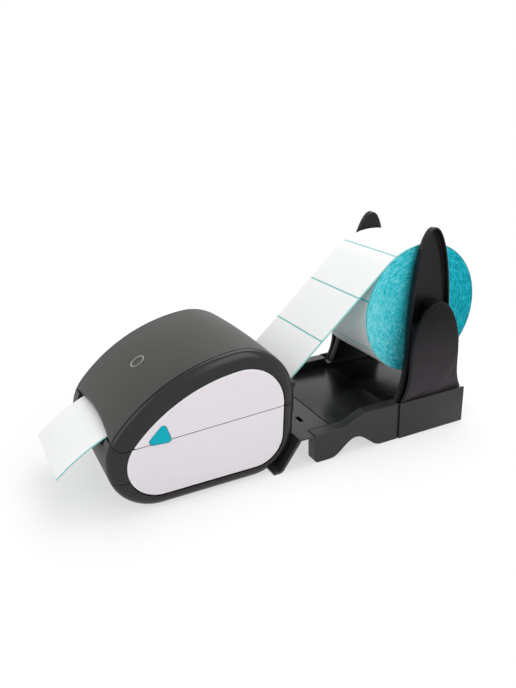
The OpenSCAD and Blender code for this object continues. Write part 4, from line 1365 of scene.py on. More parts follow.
@dataclass
class Cover(PrinterBody):
    """The hinged cover with its panels, hinge eyes and buttons."""

    hinge: Pair = (-6.141, 93.2)
    hinge_r: float = 3.0
    eye_wall: float = 1.4
    eye_edge: float = 0.4
    eye_end: float = 1.5
    arm: Pair = (62.0, 67.0)
    arm_gap: float = 0.5
    arm_in: float = 8.0
    arm_rise: float = 5.4
    slot_in: float = 18.0
    slot_rise: float = 4.0
    feed_p: Pair = (-150.453, 125.712)
    feed_a: float = math.radians(119.739)
    feed_r: float = 6.4
    ring_r: float = 6.8
    ring_out: float = 8.3
    ring_room: float = 6.0
    frame_top: float = 93.15
    boss_x: Pair = (-48.0, 40.0)
    boss_y: Pair = (26.0, 33.0)
    boss_w: float = 8.0
    boss_top: float = 99.5
    boss_edge: float = 0.5
    post_x: float = 15.0
    post_r: float = 2.5
    post_ends: Pair = (-10.7, -1.2)
    mouth_y: float = 11.3
    mouth_bow: float = 2.6
    mouth_half: float = 70.0
    mouth_z: Pair = (-12.0, 16.0)
    mouth_room: float = 30.0
    latch_gap: float = 0.5
    latch_line: float = 0.45

    @property
    def feed_axis(self) -> Array:
        """The crown's normal at the feed button."""
        return np.array((0.0, math.cos(self.feed_a), math.sin(self.feed_a)))

    @property
    def feed_centre(self) -> Array:
        """The feed button's place on the crown."""
        return np.array((0.0, *self.feed_p))

    def build(self) -> None:
        """Builds the shell, the sides, the panels and the buttons."""
        self.shell()
        self.fittings()
        for side in Side:
            self.flank(side)
        self.feed()

    def flank(self, side: Side) -> None:
        """A side of the cover: its rim, its panel, the release button and the seat of the button's spring.

        Args:
            side: The side of the machine.
        """
        latch = LatchShape()
        rim = make_object(f"cover_side_{side.tag}", [self.rim_solid(side)])
        carve(rim, [self.recess_tool(side), latch.hole(self.latch_gap, side)])
        settle(rim, "cover", RIM_GLOSS, [f"cover_rim_{side.tag}"])
        settle(latch.seat(side), "cover", RIM_GLOSS)
        panel = make_object(f"cover_face_{side.tag}", [self.panel_solid(side)], self.face_sharp)
        carve(panel, [latch.hole(self.latch_line, side)])
        settle(panel, "cover", PANEL_PALE, [f"cover_panel_{side.tag}"])
        button = latch.button(side)
        settle(button, f"latch_{side.tag}", BUTTON_TEAL, [f"release_button_{side.tag}"])

    def shell(self) -> None:
        """The arched shell, cut open for the web, the label slot, the light ring and the hinge's arms."""
        v = self.view
        out, z = v.rear_y + CLEAR, self.hinge[1]
        skin = make_object("cover_skin", [self.band()])
        room = (-self.ring_room, self.ring_room)
        ring = round_bar(self.ring_out, room, self.feed_centre, self.feed_axis)
        tools = [
            box_tool((-SLOT_HALF, v.rear_y - self.slot_in, 0), (SLOT_HALF, out, z + self.slot_rise)),
            self.mouth_tool(),
            make_object("feed_tool", [ring]),
        ]
        for sign in (-1, 1):
            x0, x1 = sorted((sign * (self.arm[0] - self.arm_gap), sign * (self.arm[1] + self.arm_gap)))
            tools.append(box_tool((x0, v.rear_y - self.arm_in, 0), (x1, out, z + self.arm_rise)))
        settle(carve(skin, tools), "cover", COVER_GREY, ["cover_shell"])

    def fittings(self) -> None:
        """The hinge's eyes, and the bosses and posts inside the shell."""
        v = self.view
        pin, radius = np.array((0.0, *self.hinge)), self.hinge_r
        inner = (SLOT_HALF + self.arm_gap, self.arm[0] - self.arm_gap)
        outer = (self.arm[1] + self.arm_gap, v.seam_h - self.eye_end)
        parts = []
        for sign in (-1, 1):
            for ends in (inner, outer):
                profile = tube_profile(radius, radius + self.eye_wall, *ends, self.eye_edge)
                parts.append(lathe(profile * (1, sign), pin, np.array((1.0, 0.0, 0.0)), 48))
        y0, y1 = (v.nose_y + y for y in self.boss_y)
        for x in self.boss_x:
            high = (x + self.boss_w, y1, self.boss_top)
            parts.append(slim_bar((x, y0, self.frame_top), high, self.boss_edge))
        for x in (-self.post_x, self.post_x):
            centre = self.feed_centre + (x, 0, 0)
            parts.append(round_bar(self.post_r, self.post_ends, centre, self.feed_axis, 24))
        settle(make_object("cover_fittings", parts), "cover", COVER_GREY)

    def mouth_tool(self) -> Object:
        """A tool that sets the slot's upper lip back: a parabola in plan view, deepest at the middle.

        Returns:
            The tool.
        """
        v, half = self.view, self.mouth_half
        front = v.nose_y - self.mouth_room
        x = np.linspace(half, -half, 57)
        plan = np.stack([x, v.nose_y + self.mouth_y - self.mouth_bow * (x / SLOT_HALF) ** 2], 1)
        plan = np.vstack([plan, [(-half, front), (half, front)]])
        rings = np.empty((2, len(plan), 3))
        rings[..., :2] = plan[None]
        rings[..., 2] = v.slot_z + np.array(self.mouth_z)[:, None]
        return make_object("mouth_tool", [carry(rings)])

    def feed(self) -> None:
        """The light ring and the feed button, turned about the crown's normal."""
        low = -WALL
        ring = np.array([
            (self.ring_r, low), (self.ring_out, low), (self.ring_out, -0.1), (self.ring_out - 0.25, 0.08),
            (self.ring_r + 0.5, 0.1), (self.ring_r + 0.1, -0.12), (self.ring_r, -0.4),
        ])
        part = lathe(ring, self.feed_centre, self.feed_axis, 96)
        settle(make_object("light_band", [part]), "cover", RING_GREY, ["light_ring"])
        r = self.feed_r
        button = np.array([
            (0.05, -5.0), (r + 1.2, -5.0), (r + 1.2, -3.6), (r, -3.6), (r, -0.7), (r - 0.12, -0.35),
            (r - 0.5, -0.1), (r - 1.0, 0.0), (r - 2.6, -0.25), (0.05, -0.45),
        ])
        part = lathe(button, self.feed_centre, self.feed_axis, 96)
        settle(make_object("feed_cap", [part]), "feed", COVER_GREY, ["feed_button"])


@dataclass
class Base(PrinterBody):
    """The base: shell, rims, panels and the bezel under the label slot."""

    upper: bool = False
    strip_end: Pair = (-193.887, 78.337)
    strip_tip: Pair = (-253.755, 42.365)
    lip_gap: float = 1.5
    lip_top: float = 300.0
    # Middle across, width, bottom and height of each opening in the rear wall.
    ports: tuple = ((-20.0, 9.0, 50.2, 11.0), (-40.0, 12.0, 50.2, 11.0), (35.0, 13.0, 50.4, 19.0))
    port_gap: float = 0.3
    port_in: float = 20.0

    def build(self) -> None:
        """Builds the shell, the sides and the bezel."""
        self.shell()
        for side in Side:
            self.flank(side)
        self.bezel()

    def shell(self) -> None:
        """The base's shell, cut open for the bezel and for the ports in the rear wall."""
        v, gap = self.view, self.port_gap
        shell = make_object("base_skin", [self.band()])
        tools = [self.bezel_tool(BEZEL_BACK, BEZEL_GAP)]
        for x, w, z, h in self.ports:
            low = (x - w / 2 - gap, v.rear_y - self.port_in, z - gap)
            tools.append(box_tool(low, (x + w / 2 + gap, v.rear_y + CLEAR, z + h + gap)))
        settle(carve(shell, tools), "base", COVER_GREY, ["base_shell"])

    def flank(self, side: Side) -> None:
        """A side of the base: its rim and its panel, with room for the release button.

        Args:
            side: The side of the machine.
        """
        latch = LatchShape()
        rim = make_object(f"base_side_{side.tag}", [self.rim_solid(side)])
        rooms = (self.bezel_tool(BEZEL_END, BEZEL_GAP), latch.hole(PART_GAP, side))
        carve(rim, [self.recess_tool(side), *rooms])
        settle(rim, "base", RIM_GLOSS, [f"base_rim_{side.tag}"])
        panel = make_object(f"base_face_{side.tag}", [self.panel_solid(side)], self.face_sharp)
        carve(panel, [latch.hole(PART_GAP, side)])
        settle(panel, "base", PANEL_PALE, [f"base_panel_{side.tag}"])

    def bezel(self) -> None:
        """The front bezel: the nose's share of shell and rims, with a lip that slopes under the strip."""
        rear, top = self.view.rear_y, self.lip_top
        tip, (end_y, end_z) = self.strip_tip, self.strip_end
        lip = np.array([tip, (end_y, end_z), (rear, end_z), (rear, top), (tip[0], top)])
        rings = across(lip - (0.0, self.lip_gap), np.array([-SLOT_HALF, SLOT_HALF]))
        middle = make_object("bezel_front", [self.band()])
        carve(middle, [self.bezel_tool(BEZEL_BACK, 0.0)], keep=True)
        carve(middle, [make_object("lip_tool", [carry(rings)])])
        settle(middle, "base", COVER_GREY, ["front_bezel"])
        for side in Side:
            end = make_object(f"bezel_end_{side.tag}", [self.rim_solid(side)])
            carve(end, [self.bezel_tool(BEZEL_END, 0.0)], keep=True)
            carve(end, [self.recess_tool(side)])
            settle(end, "base", RIM_GLOSS)


@dataclass
class LabelPath:
    """The web from the strip's torn end, over the platen and up to the last layer on the roll."""

    platen_y: float = -188.153
    paper_z: float = 79.4
    curl_r: float = 16.0
    curl_a: float = math.radians(21.0)
    strip_bow: float = math.radians(20.0)
    strip_l: float = 70.2
    bend_y: float = -9.653
    bend_r: float = 30.0
    slope: float = math.radians(41.0)
    roll: Pair = (176.816, 139.8)
    wrap_r: float = 76.75
    wrap_a: float = math.radians(195.0)
    liner_half: float = 52.0
    label_half: float = 50.6
    label_shift: float = -0.8
    liner_t: float = 0.3
    label_t: float = 0.25
    label_l: float = 61.0
    gap: float = 2.0
    second: float = 72.0
    corner: float = 1.6
    margin: float = 0.2
    feel: float = 0.6
    lanes: int = 9
    liner_points: int = 520
    label_points: int = 44
    corner_points: int = 7

    def line(self) -> Array:
        """The web's underside in side view: drooping strip, bend, run, bend up, slope and wrap.

        Returns:
            The (y, z) points from the torn end.
        """
        curl = np.array((self.platen_y, self.paper_z - self.curl_r))
        droop_r = self.strip_l / self.strip_bow
        lean = np.array((-math.sin(self.curl_a), math.cos(self.curl_a)))
        droop = curl + (self.curl_r - droop_r) * lean
        bend_y = self.bend_y - self.bend_r * math.tan(self.slope / 2)
        bend = np.array((bend_y, self.paper_z + self.bend_r))
        top = math.pi / 2
        arcs = (
            (droop, droop_r, top + self.curl_a + self.strip_bow, top + self.curl_a, 30),
            (curl, self.curl_r, top + self.curl_a, top, 24),
            (bend, self.bend_r, -top, self.slope - top, 24),
            (np.array(self.roll), self.wrap_r, top + self.slope, top + self.slope - self.wrap_a, 160),
        )
        rows = []
        for centre, radius, a0, a1, n in arcs:
            a = np.linspace(a0, a1, n)
            rows.append(centre + radius * np.stack([np.cos(a), np.sin(a)], 1))
        return np.vstack([rows[0][:-1], *rows[1:]])

    def frame(self, stops: Array) -> tuple[Array, Array]:
        """Points and upward normals of the web at distances from its torn end.

        Args:
            stops: Distances along the web.

        Returns:
            The points and the normals in side view.
        """
        line = self.line()
        end = distances(line)[-1]
        ahead = at_distance(line, np.minimum(stops + self.feel, end))
        t = ahead - at_distance(line, np.maximum(stops - self.feel, 0))
        t /= np.linalg.norm(t, axis=1)[:, None]
        return at_distance(line, stops), np.stack([-t[:, 1], t[:, 0]], 1)

    @property
    def length(self) -> float:
        """The web's whole length."""
        return float(np.sum(np.linalg.norm(np.diff(self.line(), axis=0), axis=1)))

    def strip(self, stops: Array, half: Array, low: float, high: float, shift: float = 0.0) -> Surface:
        """A layer of the web: a thin section of changing half width carried along the line.

        Args:
            stops: Distances along the web.
            half: Half width at each distance.
            low: Height of the layer's underside.
            high: Height of its upper face.
            shift: Distance of the layer's middle from the web's.

        Returns:
            The closed layer.
        """
        p, n = self.frame(stops)
        lanes = np.linspace(-1, 1, self.lanes)
        x = np.concatenate([lanes, lanes[::-1]])
        h = np.repeat((low, high), self.lanes)[:, None]
        rings = np.empty((len(stops), len(x), 3))
        rings[..., 0] = x * half[:, None] + shift
        rings[..., 1:] = p[:, None] + h * n[:, None]
        return carry(rings)

    def label(self, start: float, end: float) -> Surface:
        """A label on the web, whose half width follows a quarter circle at each corner.

        Args:
            start: Where it starts along the web.
            end: Where it ends.

        Returns:
            The closed label.
        """
        r = self.corner
        edge = r * (1 - np.cos(np.linspace(0, math.pi / 2, self.corner_points)))
        middle = np.linspace(start + r, end - r, self.label_points)[1:-1]
        s = np.concatenate([start + edge, middle, end - edge[::-1]])
        near = np.minimum(np.minimum(s - start, end - s), r)
        half = self.label_half - r + np.sqrt(np.maximum(r**2 - (r - near) ** 2, 0.0))
        return self.strip(s, half, self.liner_t - HAIR, self.liner_t + self.label_t, self.label_shift)

    def spans(self) -> list[Pair]:
        """Where each label starts and ends along the web; the last one is cut at the web's end.

        Returns:
            Start and end of each label.
        """
        last = self.length - self.margin
        starts = np.arange(self.second, last - 2 * self.corner, self.label_l + self.gap)
        return [(self.margin, self.second - self.gap), *((s, min(s + self.label_l, last)) for s in starts)]

    def build(self) -> None:
        """Builds the liner as one sheet and the labels on it."""
        stops = np.linspace(0, self.length, self.liner_points)
        half = np.full_like(stops, self.liner_half)
        layer = self.strip(stops, half, 0.0, self.liner_t)
        liner = make_object("liner_web", [layer], PAPER_SHARP)
        settle(liner, "base", LINER_TEAL, ["label_web"])
        labels = [self.label(start, end) for start, end in self.spans()]
        faces = make_object("labels_on_web", labels, PAPER_SHARP)
        settle(faces, "base", LABEL_WHITE)
        self.length * MM


@dataclass
class LabelRoll:
    """The wound roll: uneven layers on its sides, labels and gaps on its round."""

    centre: Pair = (176.816, 139.8)
    radius: float = 76.4
    bore: float = 15.7
    half: float = 52.0
    rings: int = 130
    steps: int = 260
    wound_sharp: float = 60.0
    seeds: tuple[int, int] = (3, 8)
    # Pitch and height of the waves across the layers.
    waves: tuple = ((2.1, 0.4), (3.1, 0.3), (5.3, 0.2), (11.0, 0.25))
    # Swings of a wave's phase in a turn of the roll.
    swings: tuple[int, ...] = (2, 3, 5, 8, 13, 21)
    swell: float = 1.15
    depth: float = 0.35
    label_half: float = 50.0
    label_l: float = 61.0
    label_pitch: float = 63.0
    label_count: int = 4
    label_start: float = math.radians(118.0)
    label_faces: Pair = (-0.1, 0.16)
    shades: tuple[Colour, ...] = (
        tone(0, 143, 161), tone(6, 181, 198), tone(60, 206, 220), tone(132, 226, 235),
    )

    def side_face(self, r: Array, a: Array, seed: int) -> Array:
        """How far the layers stand back from the roll's end, in millimetres.

        Sums of sines in radius, whose phases wander with the angle, give each layer its own wavy edge.

        Args:
            r: Radii.
            a: Angles.
            seed: Seed of the phases.

        Returns:
            Depths from 0 to about 0.8.
        """
        pick = np.random.default_rng(seed)
        height = np.zeros(np.broadcast(r, a).shape)
        for pitch, weight in self.waves:
            wander = sum(
                pick.uniform(0.5, 1.3) * np.sin(k * a + pick.uniform(0, 6.28) + r / pick.uniform(9, 25))
                for k in self.swings
            )
            height += weight * np.sin(2 * math.pi * r / pitch + wander)
        return self.depth * (height + self.swell) / self.swell

    def build(self) -> None:
        """Builds the wound body as one closed surface of radius and angle, and the labels round it."""
        a = np.linspace(0, 2 * math.pi, self.steps, endpoint=False)[:, None]
        r = np.linspace(self.bore, self.radius, self.rings)[None]
        left = -self.half + self.side_face(r, a, self.seeds[0])
        right = self.half - self.side_face(r, a, self.seeds[1])
        x = np.concatenate([left, right[:, ::-1]], 1)
        radius = np.broadcast_to(np.concatenate([r, r[:, ::-1]], 1), x.shape)
        y, z = self.centre
        grid = np.stack([x, y + radius * np.cos(a), z + radius * np.sin(a)], -1)
        roll = make_object("wound_roll", [close_round(grid)], self.wound_sharp)
        edge = WoundEdge("wound_edge", self.centre, self.shades)
        settle(roll, "roll", edge, ["label_roll"])
        self.outer_labels()

    def outer_labels(self) -> None:
        """The labels on the roll's outer layer, with a line of liner between them."""
        x = np.array((-1, 1, 1, -1)) * self.label_half
        r = self.radius + np.repeat(self.label_faces, 2)
        run = np.linspace(0, self.label_l / self.radius, 30)
        parts = []
        for k in range(self.label_count):
            a = (self.label_start + k * (self.label_pitch / self.radius) + run)[:, None]
            y = self.centre[0] + r * np.cos(a)
            z = self.centre[1] + r * np.sin(a)
            parts.append(carry(np.stack([np.broadcast_to(x, y.shape), y, z], -1)))
        labels = make_object("labels_on_roll", parts, PAPER_SHARP)
        settle(labels, "roll", LABEL_WHITE)


@dataclass
class Springs:
    """The coil springs over the print head and behind the release buttons, built at one length; the real
    springs shorten as these move.
    """

    wire: float = 0.35
    turns: int = 5
    steps: int = 28
    sides: int = 10
    head_r: float = 2.6
    head_travel: float = 1.0
    latch_r: float = 3.0
    latch_travel: float = 3.0

    def coil(self, radius: float, length: float) -> Array:
        """A wire wound along an axis: its round section turns about the axis and climbs from end to end.

        Args:
            radius: From the axis to the middle of the wire.
            length: From the lowest to the highest point of the coil.

        Returns:
            Rings of points, with the axis as the last coordinate.
        """
        t = np.linspace(0.0, 1.0, self.turns * self.steps + 1)[:, None]
        section = np.linspace(0.0, 2 * math.pi, self.sides, endpoint=False)[None]
        reach = radius + self.wire * np.cos(section)
        climb = self.wire + (length - 2 * self.wire) * t + self.wire * np.sin(section)
        turn = 2 * math.pi * self.turns * t
        return np.stack([reach * np.cos(turn), reach * np.sin(turn), climb], -1)

    def build(self) -> None:
        """Builds the head's pair of coils and the two coils behind the buttons."""
        self.head_coils()
        for side in Side:
            self.latch_coil(side)

    def head_coils(self) -> None:
        """The two coils that stand on the heat sink, held by the frame above them."""
        low, high = (np.array(corner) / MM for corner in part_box("head_springs"))
        rings = self.coil(self.head_r, high[2] - low[2])
        place = np.array((high[0] - self.head_r - self.wire, (low[1] + high[1]) / 2, low[2]))
        coils = make_object("head_coils", [flip(carry(rings + place), side) for side in Side])
        settle(coils, "cover", SPRING_STEEL, ["head_springs"])
        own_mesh(coils)

    def latch_coil(self, side: Side) -> None:
        """The coil that lies between a button and its seat inside the cover.

        Args:
            side: The side of the machine.
        """
        node = f"release_spring_{side.tag}"
        low, high = (np.array(corner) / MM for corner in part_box(node))
        seat = min(abs(low[0]), abs(high[0]))
        rings = self.coil(self.latch_r, high[0] - low[0])[..., [2, 1, 0]]
        place = np.array((seat, (low[1] + high[1]) / 2, (low[2] + high[2]) / 2))
        coil = make_object(f"latch_coil_{side.tag}", [flip(carry(rings + place), side)])
        settle(coil, "cover", SPRING_STEEL, [node])
        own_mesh(coil)


@dataclass
class Stand:
    """The roll stand: floor, skirts, leg, docking plate and the two sliding uprights."""

    rear_y: float = -7.153
    roll: Pair = (176.816, 139.8)
    half: float = 86.0
    floor_z: float = 34.5
    floor_t: float = 3.0
    floor_edge: float = 0.5
    floor_lap: float = 0.6
    floor_set: float = 2.0
    side_z: float = 45.0
    tool_top: float = 90.0
    dock_t: float = 2.4
    dock_gap: float = 1.0
    dock_set: float = 1.0
    dock_l: float = 47.0
    dock_edge: float = 0.5
    dock_room: float = 5.0
    toe_l: float = 23.0
    toe_out: float = 1.4
    toe_in: float = 0.6
    toe_radii: Pair = (8.0, 5.6)
    lip_l: float = 9.0
    slot_x: Pair = (38.0, 51.0)
    slot_y: Pair = (2.0, 6.7)
    notch_x: Pair = (56.0, 63.0)
    notch_y: Pair = (-2.0, 3.0)
    notch_d: float = 6.0
    cup_wall: float = 0.8
    cup_d: float = 5.0
    cup_floor: float = 1.0
    cup_lap: float = 0.1
    ledge_z: Pair = (1.3, 0.1)
    ledge_y: Pair = (3.0, 2.0)
    ledge_w: float = 4.0
    ledge_end: float = 2.0
    ledge_lap: float = 0.5
    ledge_edge: float = 0.3
    skirt_t: float = 14.0
    skirt_set: float = 19.5
    skirt_cut: float = 3.0
    skirt_edge: float = 0.4
    skirt_sharp: float = 18.0
    arch_at: float = 54.0
    arch_w: float = 68.0
    arch_h: float = 18.0
    ramp_at: float = 60.5
    ramp_l: float = 24.0
    seam_gap: float = 0.4
    tongue_x: Pair = (2.0, 4.0)
    tongue_y: Pair = (1.0, 4.0)
    tongue_z: Pair = (0.3, 5.0)
    leg_y: Pair = (6.0, 1.0)
    leg_edge: float = 0.8
    block_wall: float = 3.0
    block_span: Pair = (52.5, 41.5)
    block_z: float = 0.6
    block_edges: Triple = (0.35, 0.4, 0.6)
    tray_in: float = 66.0
    tray_gap: float = 0.2
    tray_wall: float = 2.5
    tray_set: float = 0.3
    block_lap: float = 1.0
    bar_span: Pair = (36.0, 20.0)
    bar_drop: float = 4.5
    bar_in: float = 45.0
    bar_half: float = 6.0
    bar_t: float = 3.5
    bar_gap: float = 0.3
    bar_edge: float = 0.4
    tunnel_x: Pair = (48.0, 76.0)
    tunnel_wall: float = 2.2
    tunnel_lap: float = 0.2
    ear_in: float = 67.0
    ear_d: float = 9.0
    ear_wall: float = 2.4
    ear_lean: float = math.radians(3.7)
    ear_top: float = 236.2
    ear_half: float = 27.8
    ear_belly: float = 115.0
    ear_flare: float = 15.0
    ear_back: float = 12.0
    ear_fore: float = 7.3
    ear_sunk: float = 1.0
    upright_sharp: float = 40.0
    fin_set: float = 3.5
    fin_fore: float = 1.5
    fin_gap: float = 0.5
    fin_top: float = 157.0
    fin_tip: float = 0.995
    fin_half: float = 34.5
    fin_belly: float = 85.0
    fin_flare: float = 16.0
    fin_d: float = 5.0
    fin_edge: float = 1.2
    fin_crown: float = 0.6
    leaf_set: float = 10.8
    leaf_z: float = 92.0
    leaf_r: float = 40.3
    leaf_slants: Pair = (0.14, 0.25)
    leaf_edge: float = 0.7
    leaf_step: float = 0.5
    leaf_fall: float = 0.06
    foot_z: float = 39.7

    @property
    def skirt_in(self) -> float:
        """Inner face of a skirt."""
        return self.half - self.skirt_t

    @property
    def skirt_y(self) -> float:
        """Front end of the skirts."""
        return self.rear_y + self.skirt_set

    @property
    def dock_y(self) -> float:
        """Front edge of the docking plate's top."""
        return self.rear_y + self.dock_set

    @property
    def seam_y(self) -> float:
        """Front end of the raised floor, behind the docking plate."""
        return self.rear_y + self.dock_l

    @property
    def block_out(self) -> float:
        """Outer face of a slide block."""
        return self.fin_out + self.fin_gap + self.block_wall

    @property
    def fin_out(self) -> float:
        """Outer face of a fin."""
        return self.ear_in + self.ear_d + self.fin_set + self.fin_d

    @property
    def block_y(self) -> Pair:
        """Front and back of a slide block."""
        return self.roll[0] - self.block_span[0], self.roll[0] + self.block_span[1]

    @property
    def bars(self) -> Pair:
        """Middles of the two slide bars under the floor."""
        return self.roll[0] - self.bar_span[0], self.roll[0] + self.bar_span[1]

    @property
    def bar_z(self) -> float:
        """Underside of the slide bars."""
        return self.floor_z - self.floor_t - self.bar_drop

    def build(self) -> None:
        """Builds the stand's pieces from front to back."""
        self.dock()
        self.dock_trim()
        self.floor()
        for side in Side:
            self.skirt(side)
            self.slide_block(side)
            self.ear(side)
            self.fin(side)

    def dock_view(self) -> Array:
        """Side view of the docking plate: top, slope under the printer and lip, with round bends.

        Returns:
            The (y, z) points in order.
        """
        z, t, y = self.floor_z, self.dock_t, self.dock_y
        toe = y - self.toe_l
        lip = toe - self.lip_l
        knee, back = (y + t, z - t), self.seam_y - self.dock_gap
        outer, inner = self.toe_radii
        return np.vstack([
            [(lip, 0.0)],
            fillet((lip, 0.0), (toe + self.toe_out, 0.0), knee, outer),
            [knee, (back, z - t), (back, z), (y, z)],
            fillet((y, z), (toe - self.toe_in, t), (lip, t), inner),
            [(lip, t)],
        ])

    def dock(self) -> None:
        """The docking plate, with its slots, notches and the corners where the skirts stand."""
        view, gap, room = self.dock_view(), self.dock_gap, self.dock_room
        plate = make_object("dock_plate", [carry(across(view, np.array([-self.half, self.half])))])
        slot_y, notch_y = self.skirt_y + np.array(self.slot_y), self.dock_y + np.array(self.notch_y)
        slot = ((self.slot_x[0], slot_y[0], 0.0), (self.slot_x[1], slot_y[1], self.tool_top))
        deep = self.floor_z - self.notch_d
        notch = ((self.notch_x[0], notch_y[0], deep), (self.notch_x[1], notch_y[1], self.tool_top))
        corner = (
            (self.skirt_in - gap, self.skirt_y - gap, -room),
            (self.half + room, self.seam_y - gap + room, self.tool_top),
        )
        carve(plate, [box_tool(*hole, side) for hole in (slot, notch, corner) for side in Side])
        settle(round_edges(plate, self.dock_edge), "base", DOCK_LIT, ["docking_plate"])

    def dock_trim(self) -> None:
        """Dark ledges under the docking plate's seams and cups under its slots: painted shade that stands
        for the shade below the plate and keeps out the light.
        """
        under, back = self.floor_z - self.dock_t, self.seam_y - self.dock_gap
        low, high = (under - drop for drop in self.ledge_z)
        wide, lap = self.skirt_in - self.ledge_w, self.skirt_in + self.ledge_lap
        front, behind = back - self.ledge_y[0], back + self.dock_gap + self.ledge_y[1]
        ledges = (
            ((-self.ledge_lap, front, low), (self.skirt_in, behind, high)),
            ((wide, self.skirt_y, low), (lap, back, high)),
            ((wide, self.skirt_y - self.ledge_w, low), (self.half - self.ledge_end, self.skirt_y, high)),
        )
        bars = [slim_bar(*ends, self.ledge_edge) for ends in ledges]
        trim = make_object("dock_ledges", [flip(bar, side) for bar in bars for side in Side])
        settle(trim, "base", HUB_SHADE_BLACK)
        (x0, x1), (y0, y1), w = self.slot_x, self.skirt_y + np.array(self.slot_y), self.cup_wall
        bottom = under - self.cup_d
        cup = block((x0 - w, y0 - w, bottom - self.cup_floor), (x1 + w, y1 + w, under + self.cup_lap))
        cups = make_object("dock_slots", [flip(cup, side) for side in Side])
        carve(cups, [box_tool((x0, y0, bottom), (x1, y1, self.tool_top), side) for side in Side])
        settle(cups, "base", HUB_SHADE_BLACK)

    def tunnel(self, y: float) -> list[Surface]:
        """The channel of a slide bar under the floor: two walls and a bottom.

        Args:
            y: The bar's middle.

        Returns:
            The channel's bars on the right side.
        """
        x0, x1 = self.tunnel_x
        inner = self.bar_half + self.bar_gap
        outer = inner + self.tunnel_wall
        low, lid = self.bar_z - self.tunnel_wall - self.bar_gap, self.bar_z - self.bar_gap
        top = self.floor_z - self.floor_t + self.tunnel_lap
        walls = ((y - outer, y - inner, top), (y + inner, y + outer, top), (y - outer, y + outer, lid))
        return [slim_bar((x0, y0, low), (x1, y1, z), self.bar_edge) for y0, y1, z in walls]

    def floor(self) -> None:
        """The raised floor with the tunnels of the slide bars, and the rear leg."""
        z, under = self.floor_z, self.floor_z - self.floor_t
        front, back = self.block_y[0], self.block_y[1] - self.floor_set
        side = self.block_out - self.block_wall - self.floor_set
        parts = [
            slim_bar((-self.skirt_in, self.seam_y, under), (self.skirt_in, front, z), self.floor_edge),
            slim_bar((-side, front - self.floor_lap, under), (side, back, z), self.floor_edge),
        ]
        settle(make_object("stand_tray", parts), "base", TRAY_BLACK, ["stand_floor"])
        tunnels = [flip(part, s) for s in Side for y in self.bars for part in self.tunnel(y)]
        settle(make_object("slide_tunnels", tunnels), "base", STAND_DARK)
        leg_y = back - np.array(self.leg_y)
        leg = slim_bar((-side, leg_y[0], 0.0), (side, leg_y[1], under), self.leg_edge)
        settle(make_object("rear_leg", [leg]), "base", STAND_DARK, ["stand_leg"])

    def skirt(self, side: Side) -> None:
        """A side skirt: an arch of a whole cosine below, a ramp above and a tongue behind its end.

        Args:
            side: The side of the machine.
        """
        front, end, ramp = self.skirt_y, self.block_y[0] - self.seam_gap, self.rear_y + self.ramp_at
        t = np.linspace(0, 1, 48)
        arch_y = front + self.arch_at + self.arch_w * (t - 0.5)
        bell = np.stack([arch_y, self.arch_h * (1 - np.cos(2 * math.pi * t)) / 2], 1)
        view = np.vstack([
            [(front, self.skirt_cut), (front + self.skirt_cut, 0.0)],
            bell,
            [(end, 0.0), (end, self.side_z), (ramp + self.ramp_l, self.side_z)],
            [(ramp, self.floor_z), (front, self.floor_z)],
        ])
        wall = carry(across(view, np.array([self.skirt_in, self.half])))
        (in_x, out_x), (in_y, out_y), (low, drop) = self.tongue_x, self.tongue_y, self.tongue_z
        tip = (self.half - out_x, end + out_y, self.floor_z - drop)
        tongue = slim_bar((self.skirt_in + in_x, end - in_y, low), tip, self.skirt_edge)
        parts = [flip(wall, side), flip(tongue, side)]
        obj = round_edges(make_object(f"skirt_{side.tag}", parts, self.skirt_sharp), self.skirt_edge)
        settle(obj, "base", STAND_DARK, [f"stand_skirt_{side.tag}"])

    def slide_block(self, side: Side) -> None:
        """A slide block: outer wall, tray with a rear wall and two bars that run under the floor.

        Args:
            side: The side of the machine.
        """
        (y0, y1), out = self.block_y, self.block_out
        base, far = self.floor_z + self.tray_gap, out - self.block_lap
        rear_x = self.fin_out - self.fin_d - self.tray_set
        wall, tray, rear = self.block_edges
        parts = [
            slim_bar((out - self.block_wall, y0, self.block_z), (out, y1, self.side_z), wall),
            slim_bar((self.tray_in, y0, base), (far, y1, self.foot_z), tray),
            slim_bar((self.tray_in, y1 - self.tray_wall, base), (rear_x, y1, self.side_z), rear),
        ]
        for y in self.bars:
            high = (far, y + self.bar_half, self.bar_z + self.bar_t)
            parts.append(slim_bar((self.bar_in, y - self.bar_half, self.bar_z), high, self.bar_edge))
        obj = make_object(f"upright_{side.tag}_block", [flip(part, side) for part in parts])
        settle(obj, f"upright_{side.tag}", STAND_DARK, [f"slide_block_{side.tag}"])

    def ear_edge(self, foot: float, inset: float) -> Array:
        """Edge of an ear: half an ellipse over its belly, and a cubic flare down to its foot.

        Args:
            foot: Height where the edge starts.
            inset: Distance that the edge is drawn in.

        Returns:
            The (offset, z) points from one foot over the tip to the other.
        """
        half, top, belly = self.ear_half - inset, self.ear_top - inset, self.ear_belly
        rise = np.linspace(foot, belly, 40)
        bow = belly + (top - belly) * np.sin(np.linspace(0, math.pi / 2, 60))[1:]
        z = np.concatenate([rise, bow])
        w = np.where(
            z > belly,
            half * np.sqrt(np.maximum(0, 1 - ((z - belly) / (top - belly)) ** 2)),
            half + self.ear_flare * (np.maximum(belly - z, 0) / (belly - self.floor_z)) ** 3,
        )
        w[-1] = 0.0
        return np.concatenate([np.stack([w, z], 1), np.stack([-w[-2::-1], z[-2::-1]], 1)])

